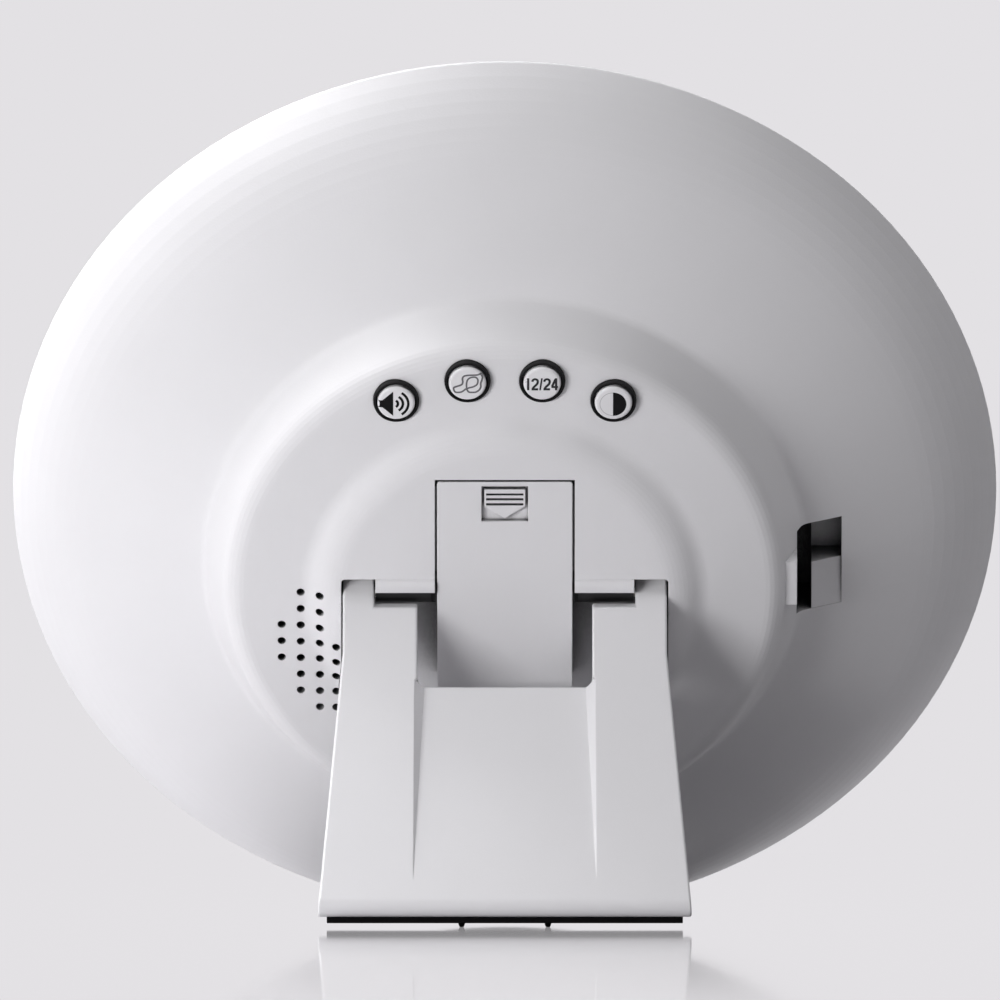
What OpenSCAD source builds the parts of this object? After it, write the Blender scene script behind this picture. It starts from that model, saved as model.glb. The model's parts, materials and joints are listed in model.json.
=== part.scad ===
// Round sunrise alarm clock, standing on its fold-out stand with the disc leaning back.
// +Z is up, the lit face looks towards -Y and up, and the origin is under the middle, on the table.

/* [Disc] */
// Radius of the lamp disc at its rim
disc_r = 100; // [98:1:103]
// Angle that the disc leans back from upright
lean = 30; // [28:1:31]
// Height of the rim's lowest point above the table
rim_lift = 1.36; // [1.2:0.02:2]
// Radius of the rounded rim
rim_round = 1.2; // [0.8:0.1:1.2]

/* [Rear shell] */
// Wall thickness of the moulded shell
wall = 2.4; // [2:0.1:2.6]
// Radius of the sphere that the dish follows
dish_sphere_r = 166; // [160:1:180]
// Radius of the tighter curve that closes the dish at its rim
edge_curve_r = 40; // [36:1:44]
// Radius of the raised hub where it meets the dish
hub_r = 60.9; // [60:0.1:62]
// Height of the dish where the hub starts, above the rim
hub_base_h = 27.8; // [26:0.1:29]
// Height of the hub's outer step
step_h = 12.15; // [11:0.05:13]
// Slope of the outer step's side, from flat
step_draft = 68; // [62:1:74]
// Slope of the annular plateau, rising inwards
plateau_slope = 4; // [2:0.5:6]
// Radius at the foot of the inner step
inner_step_r = 40.1; // [39.5:0.1:41]
// Slope of the inner step, from flat
inner_draft = 32; // [28:1:38]
// Height of the flat back cap above the rim
cap_h = 43.9; // [43.5:0.1:44.3]

/* [Buttons] */
// Radius of the circle that the four buttons lie on
button_ring_r = 49.6; // [48.5:0.1:50.5]
// Angle between neighbouring buttons
button_pitch = 17.5; // [15:0.5:19]
// Radius of a button's cap
button_r = 3.8; // [3.4:0.05:3.9]
// How far a cap stands proud of the plateau
button_proud = 1.5; // [1.2:0.1:2]
// Width of the dark rubber ring round a cap
seal_w = 0.5; // [0.4:0.05:0.6]
// How far that ring stands proud of the plateau
seal_proud = 1; // [0.5:0.1:1]
// Travel of a pressed button
button_travel = 0.8; // [0.4:0.1:0.8]

/* [Speaker grille] */
// Diameter of a grille hole
grille_hole_d = 1.66; // [1.2:0.02:1.9]
// Pitch of the grille holes
grille_pitch = 3.87; // [3.6:0.01:4]

/* [Battery bay] */
// Width of the sliding battery door
door_w = 27.4; // [26.6:0.1:27.4]
// Height of the door's upper edge above the hinge line
door_top = 27.4; // [27:0.1:28]
// Distance of the door's lower edge below the hinge line
door_bottom = 21.6; // [21.2:0.1:21.6]
// Thickness of the battery door
door_t = 1.8; // [1.6:0.1:1.8]

/* [Stand] */
// Angle between the folded and the open stand
stand_open = 60; // [58:1:61]
// Half width of the stand at its ears
leg_half = 32.8; // [32:0.1:32.9]
// Distance from the hinge at which the stand starts to widen
flare_from = 15.5; // [12:0.5:20]
// Widening of each side per millimetre of length
flare_rate = 0.082; // [0.06:0.002:0.085]
// Radius of the hinge barrel
barrel_r = 2.55; // [2.3:0.05:2.6]
// Radius of the hinge pins
pin_r = 1; // [0.8:0.1:1.2]
// Half width of the window between the legs
window_half = 17.7; // [17:0.1:18]
// Distance from the hinge to the window's lower edge
window_end = 22.3; // [22.2:0.1:24]
// Depth of the sunk panel below the window
panel_sink = 2.2; // [1:0.1:2.4]
// Height of the foot's sole above the table
sole_h = 2.1; // [1.8:0.1:2.6]
// Height of the rubber strip's underside above the table
strip_h = 0.8; // [0.4:0.1:1]

/* [Front] */
// Radius of the sphere that the lit face follows
face_sphere_r = 250; // [230:5:300]
// Radius of the display window
window_r = 40.6; // [38:0.1:41]
// Height of a displayed digit
digit_h = 19; // [14:1:19]

/* [Hidden] */
$fn = 64;
big = 200;

// Clearances
fit = 0.15;
run_fit = 0.05;

// Dish: a large sphere that a tighter arc closes at the rim
dish_c = hub_base_h - sqrt(dish_sphere_r ^ 2 - hub_r ^ 2);
rim_dist = norm([disc_r, dish_c]);
curve_gap = dish_sphere_r - edge_curve_r;
rim_angle = atan2(disc_r, -dish_c);
blend_angle = rim_angle
    - acos((curve_gap ^ 2 + rim_dist ^ 2 - edge_curve_r ^ 2) / (2 * curve_gap * rim_dist));
edge_c = [curve_gap * sin(blend_angle), dish_c + curve_gap * cos(blend_angle)];

// Rim and the rebate that the lit face sits in
rim_back = 0.4;
rim_low = 0.2;
rebate_r = disc_r - 1.25;
rebate_h = 0.8;

// Corners of the stepped hub, as radius and height
step_top_r = hub_r - step_h / tan(step_draft);
step_top_h = hub_base_h + step_h;
inner_foot_h = step_top_h + (step_top_r - inner_step_r) * tan(plateau_slope);
cap_r = inner_step_r - (cap_h - inner_foot_h) / tan(inner_draft);
hub_start_r = hub_r + 4;
hub_start_h = dish_c + sqrt(dish_sphere_r ^ 2 - hub_start_r ^ 2);
hub_corners = [[hub_start_r, hub_start_h], [hub_r, hub_base_h], [step_top_r, step_top_h],
    [inner_step_r, inner_foot_h], [cap_r, cap_h], [0, cap_h]];
step_cove_r = 3;
step_round_r = 5;
inner_cove_r = 6;
cap_round_r = 10;

// Place of the disc's centre over the table
lamp_z = disc_r * cos(lean) + rim_lift;
leg_tilt = stand_open - lean;
hinge_h = cap_h - 3;
hinge_up = lamp_z - hinge_h * sin(lean);
hinge_out = hinge_h * cos(lean);
foot_round_r = 2.5;
foot_c_n = barrel_r - foot_round_r;
foot_c_s = (hinge_up - sole_h - foot_round_r + foot_c_n * sin(leg_tilt)) / cos(leg_tilt);
foot_c_out = foot_c_s * sin(leg_tilt) + foot_c_n * cos(leg_tilt);
rear_reach = hinge_out + foot_c_out + foot_round_r;
front_reach = (disc_r - rim_round) * sin(lean) + rim_low * cos(lean) + rim_round;
lamp_y = (front_reach - rear_reach) / 2;
hinge_y = lamp_y + hinge_out;
strip_y = hinge_y + foot_c_out - 3.2;

// Recess for the folded stand
recess_top = 4.6;
recess_floor = 36.5;
lip_floor = 41.1;
lip_t = 2;
lip_overhang = 1.3;
ear_floor = 37.9;
ear_pocket = 6.8;
ear_len = 5;
lug_out = 26.2;
bush_r = barrel_r - 0.45;
lip_proud = 0.9;
ear_in = 26.4;
recess_gap = 0.3;
recess_wall = 2.2;

// Battery bay
door_half = door_w / 2;
door_gap = 0.45;
door_under = cap_h - door_t;
door_run_end = -36;
box_half = 13.5;
box_end_t = 1.4;
bay_half = 11.1;
bay_top_end = 29.6;
bay_low_end = -20.2;
bay_mid = (bay_top_end + bay_low_end) / 2;
bay_half_len = (bay_top_end - bay_low_end) / 2;
bay_floor = 31;
rail_t = 0.8;
rail_w = 1;
rail_from = 6;
rail_to = 26;
cell_r = 5.25;
cell_len = 44.5;
cell_x = 5.5;
cell_h = bay_floor + cell_r + 0.05;
contact_t = 0.5;
spring_len = 2 * (bay_half_len - contact_t) - cell_len;

// Power socket, its housing on the hub's side and the pocket for the plug
socket_face_x = 59.2;
socket_back_x = socket_face_x - 14.4;
socket_half = 5;
socket_top = 37.5;
socket_axis_h = 31.2;
socket_bore = 10;
pin_root = 3;
pocket_out_x = 68.3;
pocket_up = 8.2;
pocket_down = -12.1;
pocket_mid = -1.2;
pocket_floor = 20;
slot_floor = 16;
slot_w = 3;
tread_h = 26.62;
tread_drop = 0.42;

// Buttons and the switches under them
button_base_h = step_top_h + (step_top_r - button_ring_r) * tan(plateau_slope);
button_top_h = button_base_h + button_proud;
seal_r = button_r + 0.3;
seal_round = 0.2;
button_hole_r = seal_r + seal_w + run_fit;
flange_r = 4.9;
flange_top = 36.2;
collar_low = flange_top + 0.3;
flange_low = 35.4;
switch_top = flange_low - button_travel - 0.2;
switch_low = 31.2;
plunger_low = switch_low + 0.8 + button_travel;
plunger_r = 1.7;
button_angles = [for (k = [-1.5:1:1.5]) k * button_pitch];
button_board_t = 1.2;
button_board_end = 42;

// Speaker
speaker_at = [-40, -13.4];
speaker_r = 13.8;
speaker_top = 32.2;
magnet_depth = 10.8;

// Boards and chassis, heights measured from the rim towards the back
board_at = [8, -2];
board_size = [60, 64];
board_low = 23;
board_t = 1.6;
board_posts = [[-18, -30], [34, -30], [-18, 26], [34, 26]];
chassis_low = 4.6;
chassis_t = 2;
chassis_r = disc_r - 9;
chassis_screw_ring = disc_r - 13.5;
tube_r = 42.8;
tube_t = 1.6;
led_in = 50;
led_out = 80;
led_t = 1.6;
display_board_r = 38;
display_back = -4.4;
display_size = [66, 26, 5.5];
display_posts = [for (a = [45:90:315]) 33 * [cos(a), sin(a)]];

// Rubber feet, each with two small tips that touch the table
foot_r = 3.6;
front_foot_y = lamp_y - disc_r * sin(lean) + 4.4;
strip_half = [35.9, 2.9];
strip_fit = 0.1;
tip_x = 8.7;
tip_r = 0.45;
tip_root_r = 0.75;

// Lit face
face_edge_r = rebate_r - fit;
face_edge_h = -0.9;
face_c = face_edge_h + sqrt(face_sphere_r ^ 2 - face_edge_r ^ 2);
face_t = 2.2;
window_t = 1.8;
window_seat = 1.8;
window_low = face_c - sqrt(face_sphere_r ^ 2 - (window_r + fit) ^ 2) + 0.4;
tube_low = window_low + window_seat + 2.8;

// Grille columns: each has its place in the pattern and its first and last row
grille_x = -45.2;
grille_columns = [[0, 2, 4], [1, 0, 6], [2, 0, 7], [2.86, 3, 7]];

function unit(v) = v / norm(v);
function left_of(d) = [-d.y, d.x];
function reversed(list) = [for (i = [len(list) - 1:-1:0]) list[i]];
function tail(list) = [for (i = [1:1:len(list) - 1]) list[i]];
function arc(c, r, from, to, n = 6) =
    [for (i = [0:n]) let (a = from + (to - from) * i / n) c + r * [cos(a), sin(a)]];

// Points that round the corner p, between its neighbours a and b, with radius r
function corner(p, a, b, r, n = 6) =
    let (u = unit(a - p), w = unit(b - p), half = acos(u * w) / 2,
        c = p + unit(u + w) * r / sin(half), t = r / tan(half),
        s = p + u * t - c, e = p + w * t - c,
        from = atan2(s.y, s.x), turn = (atan2(e.y, e.x) - from + 540) % 360 - 180)
    arc(c, r, from, from + turn, n);

// A path moved to its left by t, with its corners kept sharp
function inset(p, t) =
    [for (i = [0:len(p) - 1])
        let (k = max(i, 1), j = min(i, len(p) - 2),
            n0 = left_of(unit(p[k] - p[k - 1])), n1 = left_of(unit(p[j + 1] - p[j])))
        p[i] + t * (n0 + n1) / (1 + n0 * n1)];

// Back surface from the rim to the axis, t below the skin, starting at height from_h
function hub_skin(t) =
    let (q = inset(hub_corners, t),
        r = [0, step_cove_r + t, step_round_r - t, inner_cove_r + t, cap_round_r - t])
    concat([for (i = [1:4]) each corner(q[i], q[i - 1], q[i + 1], r[i])], [q[5]]);
function dish_skin(t, n = 8) =
    let (r = dish_sphere_r - t, low = asin(hub_start_r / dish_sphere_r))
    [for (i = [0:n]) let (a = blend_angle + (low - blend_angle) * i / n)
        [r * sin(a), dish_c + r * cos(a)]];
function edge_skin(t, from_h, n = 8) =
    let (r = edge_curve_r - t, start = acos((from_h - edge_c.y) / r))
    [for (i = [0:n]) let (a = start + (blend_angle - start) * i / n)
        edge_c + r * [sin(a), cos(a)]];
function back_skin(t, from_h) =
    concat(edge_skin(t, from_h), tail(dish_skin(t)), hub_skin(t));
function rim_skin() = arc([disc_r - rim_round, -rim_low], rim_round, -90, 15);

// Half width of the stand at distance s below the hinge
function half_at(s) = leg_half + max(0, s - flare_from) * flare_rate;
// Distance below the hinge at which the sole cuts height n of the stand
function sole_s(n) = (hinge_up - sole_h + n * sin(leg_tilt)) / cos(leg_tilt);
// Outline of the stand from distance s0 to s1, drawn in by d, with its top corners rounded
function stand_plan(d, s0, s1, round_r = 0.8) =
    let (right = [[half_at(s0) - d, -s0], [half_at(flare_from) - d, -flare_from],
            [half_at(s1) - d, -s1]],
        top = corner(right[0], [0, -s0], right[1], round_r, 4),
        side = concat(top, [right[1], right[2]]))
    concat(side, reversed([for (p = side) [-p.x, p.y]]));

// The disc's own frame: x to the right and y up as seen from behind, z straight back
module in_lamp() {
    translate([0, lamp_y, lamp_z]) rotate([90 + lean, 0, 180]) children();
}

// The stand's frame: its hinge line at the origin, the leg towards -y, its outer face towards +z
module in_stand() {
    in_lamp() translate([0, 0, hinge_h]) rotate([-stand_open, 0, 0]) children();
}

module both_sides() {
    children();
    mirror([1, 0, 0]) children();
}

// A profile drawn as (y, z) and carried from x0 to x1
module across(x0, x1) {
    translate([x0, 0, 0]) rotate([90, 0, 90]) linear_extrude(x1 - x0) children();
}

module box_between(low, high) {
    translate(low) cube(high - low);
}

// A flat plate with rounded corners, from height low to high
module round_plate(size, r, low, high) {
    w = size / 2;
    path = [[w.x, w.y], [-w.x, w.y], [-w.x, -w.y], [w.x, -w.y]];
    translate([0, 0, low]) linear_extrude(high - low)
        polygon([for (i = [0:3]) each corner(path[i], path[(i + 3) % 4], path[(i + 1) % 4], r)]);
}

module disc_between(r, low, high) {
    translate([0, 0, low]) cylinder(r = r, h = high - low);
}

module ring_between(r_in, r_out, low, high) {
    difference() {
        disc_between(r_out, low, high);
        disc_between(r_in, low - 1, high + 1);
    }
}

// Everything inside the shell's outer skin
module outer_body(facets = 128) {
    rotate_extrude($fn = facets)
        polygon(concat([[0, -rim_low - rim_round]], rim_skin(), back_skin(0, rim_back)));
}

module shell_skin() {
    rotate_extrude($fn = 128)
        polygon(concat([[rebate_r, rebate_h], [rebate_r, -rim_low - rim_round]], rim_skin(),
            back_skin(0, rim_back), reversed(back_skin(wall, rebate_h))));
}

// Walls, posts and bosses that stand inside the skin
module inner_walls() {
    intersection() {
        outer_body();
        union() {
            translate([0, 0, recess_floor - recess_wall]) linear_extrude(big)
                polygon(stand_plan(-recess_wall, -recess_top - recess_wall, hub_r + 2, 2));
            box_between([-box_half, bay_low_end - box_end_t, bay_floor - 1.6],
                [box_half, bay_top_end + 1.6, big]);
            box_between([socket_face_x - 3, pocket_down - 2, slot_floor - 2],
                [pocket_out_x + 2, pocket_up + 2, big]);
            translate([speaker_at.x, speaker_at.y, 0])
                ring_between(speaker_r - 1.2, speaker_r + 0.2, speaker_top, big);
            for (p = board_posts) translate([p.x, p.y, 0])
                disc_between(2.6, board_low + board_t, p.y > 0 ? big : recess_floor);
            for (a = button_angles) rotate(a) translate([0, button_ring_r, 0])
                disc_between(button_hole_r + 0.9, collar_low, big);
            for (s = [-1, 1]) rotate(s * button_board_end)
                translate([0, button_ring_r, 0]) disc_between(2.4, switch_low, big);
            for (i = [0:5]) rotate(i * 60 + 30)
                translate([chassis_screw_ring, 0, 0]) disc_between(3, chassis_low + chassis_t, big);
        }
    }
}

module socket_housing() {
    box_between([socket_back_x - 0.6, -socket_half, socket_axis_h - 6.5],
        [socket_face_x, socket_half, socket_top]);
}

module socket_cavity() {
    box_between([socket_back_x - 1.6, -socket_half + 1.2, socket_axis_h - 7],
        [socket_face_x - 1.2, socket_half - 1.2, socket_axis_h + 4.2]);
    translate([socket_face_x - 2, 0, socket_axis_h]) rotate([0, 90, 0]) cylinder(r = 3.3, h = 20);
}

// Space for the hinge, the folded legs and the sunk panel between them
module stand_recess() {
    far = hub_r + 40;
    difference() {
        union() {
            translate([0, 0, recess_floor]) linear_extrude(big)
                polygon(stand_plan(lip_overhang - recess_gap, 0, far));
            translate([0, 0, lip_floor]) linear_extrude(big)
                polygon(stand_plan(-recess_gap, 0, far));
        }
        box_between([-box_half, bay_low_end - box_end_t, 0], [box_half, big, big]);
        box_between([-lug_out, -barrel_r - 0.6, 0], [lug_out, big, big]);
    }
    both_sides() {
        translate([0, 0, ear_floor]) linear_extrude(big) intersection() {
            polygon(stand_plan(-recess_gap, -recess_top, flare_from + 5));
            translate([lug_out, -ear_pocket]) square([big, big]);
        }
        across(box_half, lug_out) lug_cut();
    }
}

// What is cut away round a hinge lug, leaving the bush's cradle and the rounded lip over it
module lug_cut() {
    top = cap_h + lip_proud;
    polygon([[recess_top + 0.2, big], [-barrel_r - 0.7, big], [-barrel_r - 0.7, recess_floor],
        [0, recess_floor], [0, hinge_h], [bush_r * sin(27), hinge_h + bush_r * cos(27)],
        [1.9, top - 0.15], [3.3, top], [3.9, top - 0.15], [4.35, top - 0.45],
        [recess_top, cap_h], [recess_top + 0.2, cap_h + 0.1]]);
    translate([0, hinge_h]) circle(r = bush_r + run_fit);
}

module battery_cavity() {
    box_between([-bay_half, bay_low_end, bay_floor], [bay_half, door_top - 0.4, big]);
    box_between([-bay_half, 0, bay_floor], [bay_half, bay_top_end, door_under - 0.35]);
    box_between([-door_half - door_gap, door_run_end, door_under - 0.1],
        [door_half + door_gap, door_top + door_gap, big]);
    rail_run();
}

// Space that the door's side rails slide along
module rail_run() {
    box_between([-door_half - rail_w - 0.15, door_run_end, door_under - 0.1],
        [door_half + rail_w + 0.15, rail_to + 0.2, door_under + rail_t + 0.1]);
}

// Deep slot along the socket, a wide pocket beside its upper half and a shallow tread below that
module plug_pocket() {
    slot_x = socket_face_x + slot_w;
    difference() {
        box_between([socket_face_x, pocket_down, slot_floor], [pocket_out_x, pocket_up, big]);
        box_between([slot_x, pocket_down - 1, slot_floor - 1], [big, pocket_up + 1, pocket_floor]);
        translate([0, pocket_mid, 0]) rotate([90, 0, 0]) linear_extrude(pocket_mid - pocket_down + 1)
            polygon([[slot_x, slot_floor - 1], [slot_x, tread_h],
                [slot_x + 8, tread_h - 8 * tread_drop], [slot_x + 8, slot_floor - 1]]);
    }
}

module grille_holes() {
    for (c = grille_columns) for (row = [c[1]:c[2]])
        translate([grille_x + c[0] * grille_pitch, -row * grille_pitch, speaker_top + 1])
            cylinder(d = grille_hole_d, h = big, $fn = 24);
}

module screw_pilots() {
    for (p = board_posts) translate([p.x, p.y, 0]) disc_between(1.02, 0, board_low + board_t + 7);
    for (s = [-1, 1]) rotate(s * button_board_end)
        translate([0, button_ring_r, 0]) disc_between(0.82, 0, switch_low + 4);
    for (i = [0:5]) rotate(i * 60 + 30)
        translate([chassis_screw_ring, 0, 0]) disc_between(1.22, 0, chassis_low + chassis_t + 3.6);
}

module rear_shell() {
    color("white") in_lamp() difference() {
        union() {
            shell_skin();
            inner_walls();
            socket_housing();
            both_sides() across(box_half, lug_out) translate([1, cap_h - 1])
                square([recess_top - 1, lip_proud + 1.3]);
        }
        stand_recess();
        battery_cavity();
        socket_cavity();
        plug_pocket();
        grille_holes();
        screw_pilots();
        for (a = button_angles) rotate(a)
            translate([0, button_ring_r, flange_low]) cylinder(r = button_hole_r, h = big);
    }
}

module front_diffuser() {
    inner = window_r + fit;
    inner_r = face_sphere_r - face_t;
    skirt_out = face_edge_r - 4.4;
    skirt_in = face_edge_r - 5.8;
    outside = arc([0, face_c], face_sphere_r, -90 + asin(inner / face_sphere_r),
        -90 + asin(face_edge_r / face_sphere_r), 12);
    inside = arc([0, face_c], inner_r, -90 + asin(skirt_in / inner_r),
        -90 + asin((tube_r + fit) / inner_r), 10);
    color("ivory") in_lamp() rotate_extrude($fn = 128) polygon(concat(outside,
        [[face_edge_r, rebate_h - 0.02], [skirt_out, rebate_h - 0.02],
            [skirt_out, chassis_low - 1], [skirt_in, chassis_low - 1]],
        inside,
        [[tube_r + fit, tube_low - 0.2], [inner - 2, tube_low - 0.2],
            [inner - 2, window_low + window_seat], [inner, window_low + window_seat]]));
}

module display_window() {
    color([0.12, 0.12, 0.14, 0.6]) in_lamp() difference() {
        disc_between(window_r, window_low, window_low + window_t);
        translate([0, 0, window_low]) rotate_extrude()
            polygon([[window_r - 0.5, -0.1], [window_r + 1, -0.1], [window_r + 1, 1.4]]);
    }
}

module inner_chassis() {
    color("whitesmoke") in_lamp() difference() {
        union() {
            disc_between(chassis_r, chassis_low, chassis_low + chassis_t);
            ring_between(tube_r - tube_t, tube_r, tube_low, chassis_low + 0.5);
            for (p = display_posts) translate([p.x, p.y, 0])
                disc_between(2.4, display_back, chassis_low + 0.5);
            for (i = [0:11]) rotate(i * 30 + 15) box_between([led_out + 0.4, -0.8, chassis_low - 2],
                [chassis_screw_ring - 4, 0.8, chassis_low + 1]);
        }
        for (i = [0:5]) rotate(i * 60 + 30)
            translate([chassis_screw_ring, 0, 0]) disc_between(1.5, 0, big);
        for (p = display_posts) translate([p.x, p.y, 0]) disc_between(0.92, -10, chassis_low + 1);
        box_between([-8, -12, 0], [8, 12, big]);
    }
}

module led_board() {
    color("ghostwhite") in_lamp() difference() {
        ring_between(led_in, led_out, chassis_low - led_t, chassis_low);
        for (i = [0:5]) rotate(i * 60) translate([led_in, 0, 0]) disc_between(2.5, 0, big);
    }
}

module led_chips() {
    size = 3.5;
    top = chassis_low - led_t;
    color("khaki") in_lamp() for (ring = [[12, 57], [24, 73]])
        for (i = [0:ring[0] - 1]) rotate((i + 0.5) * 360 / ring[0]) translate([ring[1], 0, 0])
            box_between([-size / 2, -size / 2, top - 0.9], [size / 2, size / 2, top]);
}

module display_board() {
    color("seagreen") in_lamp() difference() {
        disc_between(display_board_r, display_back - board_t, display_back);
        for (p = display_posts) translate([p.x, p.y, 0]) disc_between(1.2, -big, big);
    }
}

module display_module() {
    back = display_back - board_t;
    color("dimgray") in_lamp()
        round_plate([display_size.x, display_size.y], 1, back - display_size.z, back);
}

// One bar of a digit, lying along x, with pointed ends
module segment(len, t) {
    h = len / 2;
    polygon([[-h, 0], [-h + t / 2, t / 2], [h - t / 2, t / 2], [h, 0],
        [h - t / 2, -t / 2], [-h + t / 2, -t / 2]]);
}

// A seven-bar digit, with its lit bars listed clockwise from the top and the middle bar last
module digit(lit) {
    w = digit_h * 0.5;
    t = digit_h * 0.12;
    q = digit_h / 4;
    bar = digit_h / 2 - t * 0.25 - 0.3;
    places = [[0, 2 * q, 0], [w / 2, q, 90], [w / 2, -q, 90], [0, -2 * q, 0],
        [-w / 2, -q, 90], [-w / 2, q, 90], [0, 0, 0]];
    for (k = [0:6]) if (lit[k] == 1)
        translate([places[k][0], places[k][1]]) rotate(places[k][2]) segment(bar, t);
}

module display_digits() {
    zero = [1, 1, 1, 1, 1, 1, 0];
    three = [1, 1, 1, 1, 0, 0, 1];
    six = [1, 0, 1, 1, 1, 1, 1];
    shown = [zero, six, three, zero];
    places = [-1.55, -0.72, 0.72, 1.55];
    top = display_back - board_t - display_size.z;
    color("orange") in_lamp() translate([0, 0, top - 0.4]) linear_extrude(0.4) mirror([1, 0]) {
        for (k = [0:3]) translate([places[k] * digit_h * 0.9, 0]) digit(shown[k]);
        for (s = [-1, 1]) translate([0, s * digit_h * 0.2]) circle(r = digit_h * 0.075, $fn = 32);
    }
}

module main_board() {
    color("seagreen") in_lamp() difference() {
        translate([board_at.x, board_at.y, 0])
            round_plate(board_size, 3, board_low, board_low + board_t);
        for (p = board_posts) translate([p.x, p.y, 0]) disc_between(1.3, 0, big);
    }
}

module board_components() {
    color("dimgray") in_lamp() {
        translate([0, -6, 0]) round_plate([12, 12], 0.5, board_low - 1.6, board_low);
        translate([20, 8, 0]) round_plate([8, 10], 0.5, board_low - 1.8, board_low);
        for (p = [[24, -16], [24, -24], [12, 20]])
            translate([p.x, p.y, 0]) disc_between(3.1, board_low - 9, board_low);
        translate([-10, 14, 0]) round_plate([6, 3], 1.2, board_low - 3, board_low);
        translate([30, 6, 0]) round_plate([5, 12], 0.4, board_low - 6, board_low);
    }
}

module button_board() {
    reach = button_board_end + 4;
    color("seagreen") in_lamp() difference() {
        intersection() {
            ring_between(button_ring_r - 5.4, button_ring_r + 5,
                switch_low - button_board_t, switch_low);
            linear_extrude(big) polygon(concat([[0, 0]],
                [for (i = [0:8]) let (a = 90 - reach + reach * i / 4) 80 * [cos(a), sin(a)]]));
        }
        for (s = [-1, 1]) rotate(s * button_board_end)
            translate([0, button_ring_r, 0]) disc_between(1.05, 0, big);
    }
}

module tact_switches() {
    color("silver") in_lamp() for (a = button_angles) rotate(a) translate([0, button_ring_r, 0])
        difference() {
            round_plate([6, 6], 0.5, switch_low, switch_top);
            disc_between(plunger_r + run_fit, switch_low + 0.5, big);
        }
}

module speaker_basket() {
    color("slategray") in_lamp() translate([speaker_at.x, speaker_at.y, speaker_top]) difference() {
        rotate_extrude() polygon([[0, -6.2], [8, -6.2], [11.6, -1.2], [speaker_r, -1.2],
            [speaker_r, 0], [12.3, 0], [11.7, -0.6], [8.4, -5], [4.2, -5], [4.2, -5.2], [0, -5.2]]);
        for (i = [0:3]) rotate(i * 90 + 45) translate([9.4, 0, -6]) cylinder(r = 1.6, h = 5);
    }
}

module speaker_magnet() {
    color("dimgray") in_lamp() translate([speaker_at.x, speaker_at.y, speaker_top])
        disc_between(7.4, -magnet_depth, -6.2);
}

module speaker_cone() {
    color("black") in_lamp() translate([speaker_at.x, speaker_at.y, speaker_top])
        rotate_extrude() polygon(concat([[12.1, -0.1], [11.7, -0.45], [11.1, -0.1], [10.5, -0.5],
            [4.2, -4.2], [4, -4.9], [0, -4.9], [0, -2.6]],
            [for (i = [1:5]) [3.8 * sin(i * 18), -4.1 + 1.5 * cos(i * 18)]],
            [[4.6, -3.6], [10.4, -0.05], [11.1, 0.3], [11.7, 0], [12.1, 0.2]]));
}

module speaker_gauze() {
    color("black") in_lamp() translate([speaker_at.x, speaker_at.y, 0])
        disc_between(speaker_r - 1.2, speaker_top + 0.5, speaker_top + 0.8);
}

// Two AAA cells side by side, their raised poles at opposite ends
module battery_cells() {
    pole = 0.9;
    color("darkorange") in_lamp() for (s = [-1, 1])
        translate([s * cell_x, bay_mid + s * (bay_half_len - contact_t - spring_len), cell_h])
            rotate([s * 90, 0, 0]) {
                cylinder(r = cell_r, h = cell_len - pole);
                cylinder(r = 1.9, h = cell_len);
            }
}

// A closed skin over rings of points, each ring with the same number of points
module swept(rings) {
    n = len(rings) - 1;
    m = len(rings[0]);
    side = [for (i = [0:n - 1]) for (k = [0:m - 1]) let (j = (k + 1) % m)
        each [[i * m + k, i * m + j, (i + 1) * m + j],
            [i * m + k, (i + 1) * m + j, (i + 1) * m + k]]];
    ends = [[for (k = [m - 1:-1:0]) k], [for (k = [0:m - 1]) n * m + k]];
    polyhedron(points = [for (ring = rings) each ring], faces = concat(side, ends));
}

// A coil from the contact plate to the cell, swept along its own turns
module coil(r0, r1, h, turns, wire) {
    steps = 12;
    sides = 6;
    n = ceil(turns * steps);
    centres = [for (i = [0:n]) let (f = i / n, r = r0 + (r1 - r0) * f, a = 360 * turns * f)
        [r * cos(a), r * sin(a), wire + (h - 2 * wire) * f]];
    gap = min([for (i = [0:n - steps]) norm(centres[i + steps] - centres[i]) - 2 * wire]);
    echo(least_gap_between_turns = gap);
    swept([for (i = [0:n]) let (a = 360 * turns * i / n)
        [for (k = [0:sides - 1]) let (b = 360 * k / sides)
            centres[i] + wire * [cos(b) * cos(a), cos(b) * sin(a), sin(b)]]]);
}

module battery_springs() {
    color("silver") in_lamp() for (s = [-1, 1])
        translate([s * cell_x, bay_mid + s * (bay_half_len - contact_t), cell_h])
            rotate([s * 90, 0, 0]) coil(3.9, 1.7, spring_len, 3.5, 0.3);
}

module battery_contacts() {
    half = 4.4;
    color("silver") in_lamp() for (s = [-1, 1]) for (x = [-cell_x, cell_x]) {
        end = s > 0 ? bay_top_end - contact_t : bay_low_end;
        box_between([x - half, end, cell_h - half], [x + half, end + contact_t, cell_h + half]);
    }
}

module dc_socket() {
    color("black") in_lamp() difference() {
        union() {
            box_between([socket_back_x, -socket_half + 1.3, socket_axis_h - 4.4],
                [socket_face_x - 1.2, socket_half - 1.3, socket_axis_h + 4.1]);
            translate([socket_face_x - 2, 0, socket_axis_h]) rotate([0, 90, 0])
                cylinder(r = 3.25, h = 1.9);
        }
        translate([socket_face_x - socket_bore, 0, socket_axis_h]) rotate([0, 90, 0])
            cylinder(r = 2.8, h = socket_bore + 1);
        translate([socket_face_x - socket_bore - pin_root, 0, socket_axis_h]) rotate([0, 90, 0])
            cylinder(r = 0.82, h = pin_root + 1);
    }
}

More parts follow.
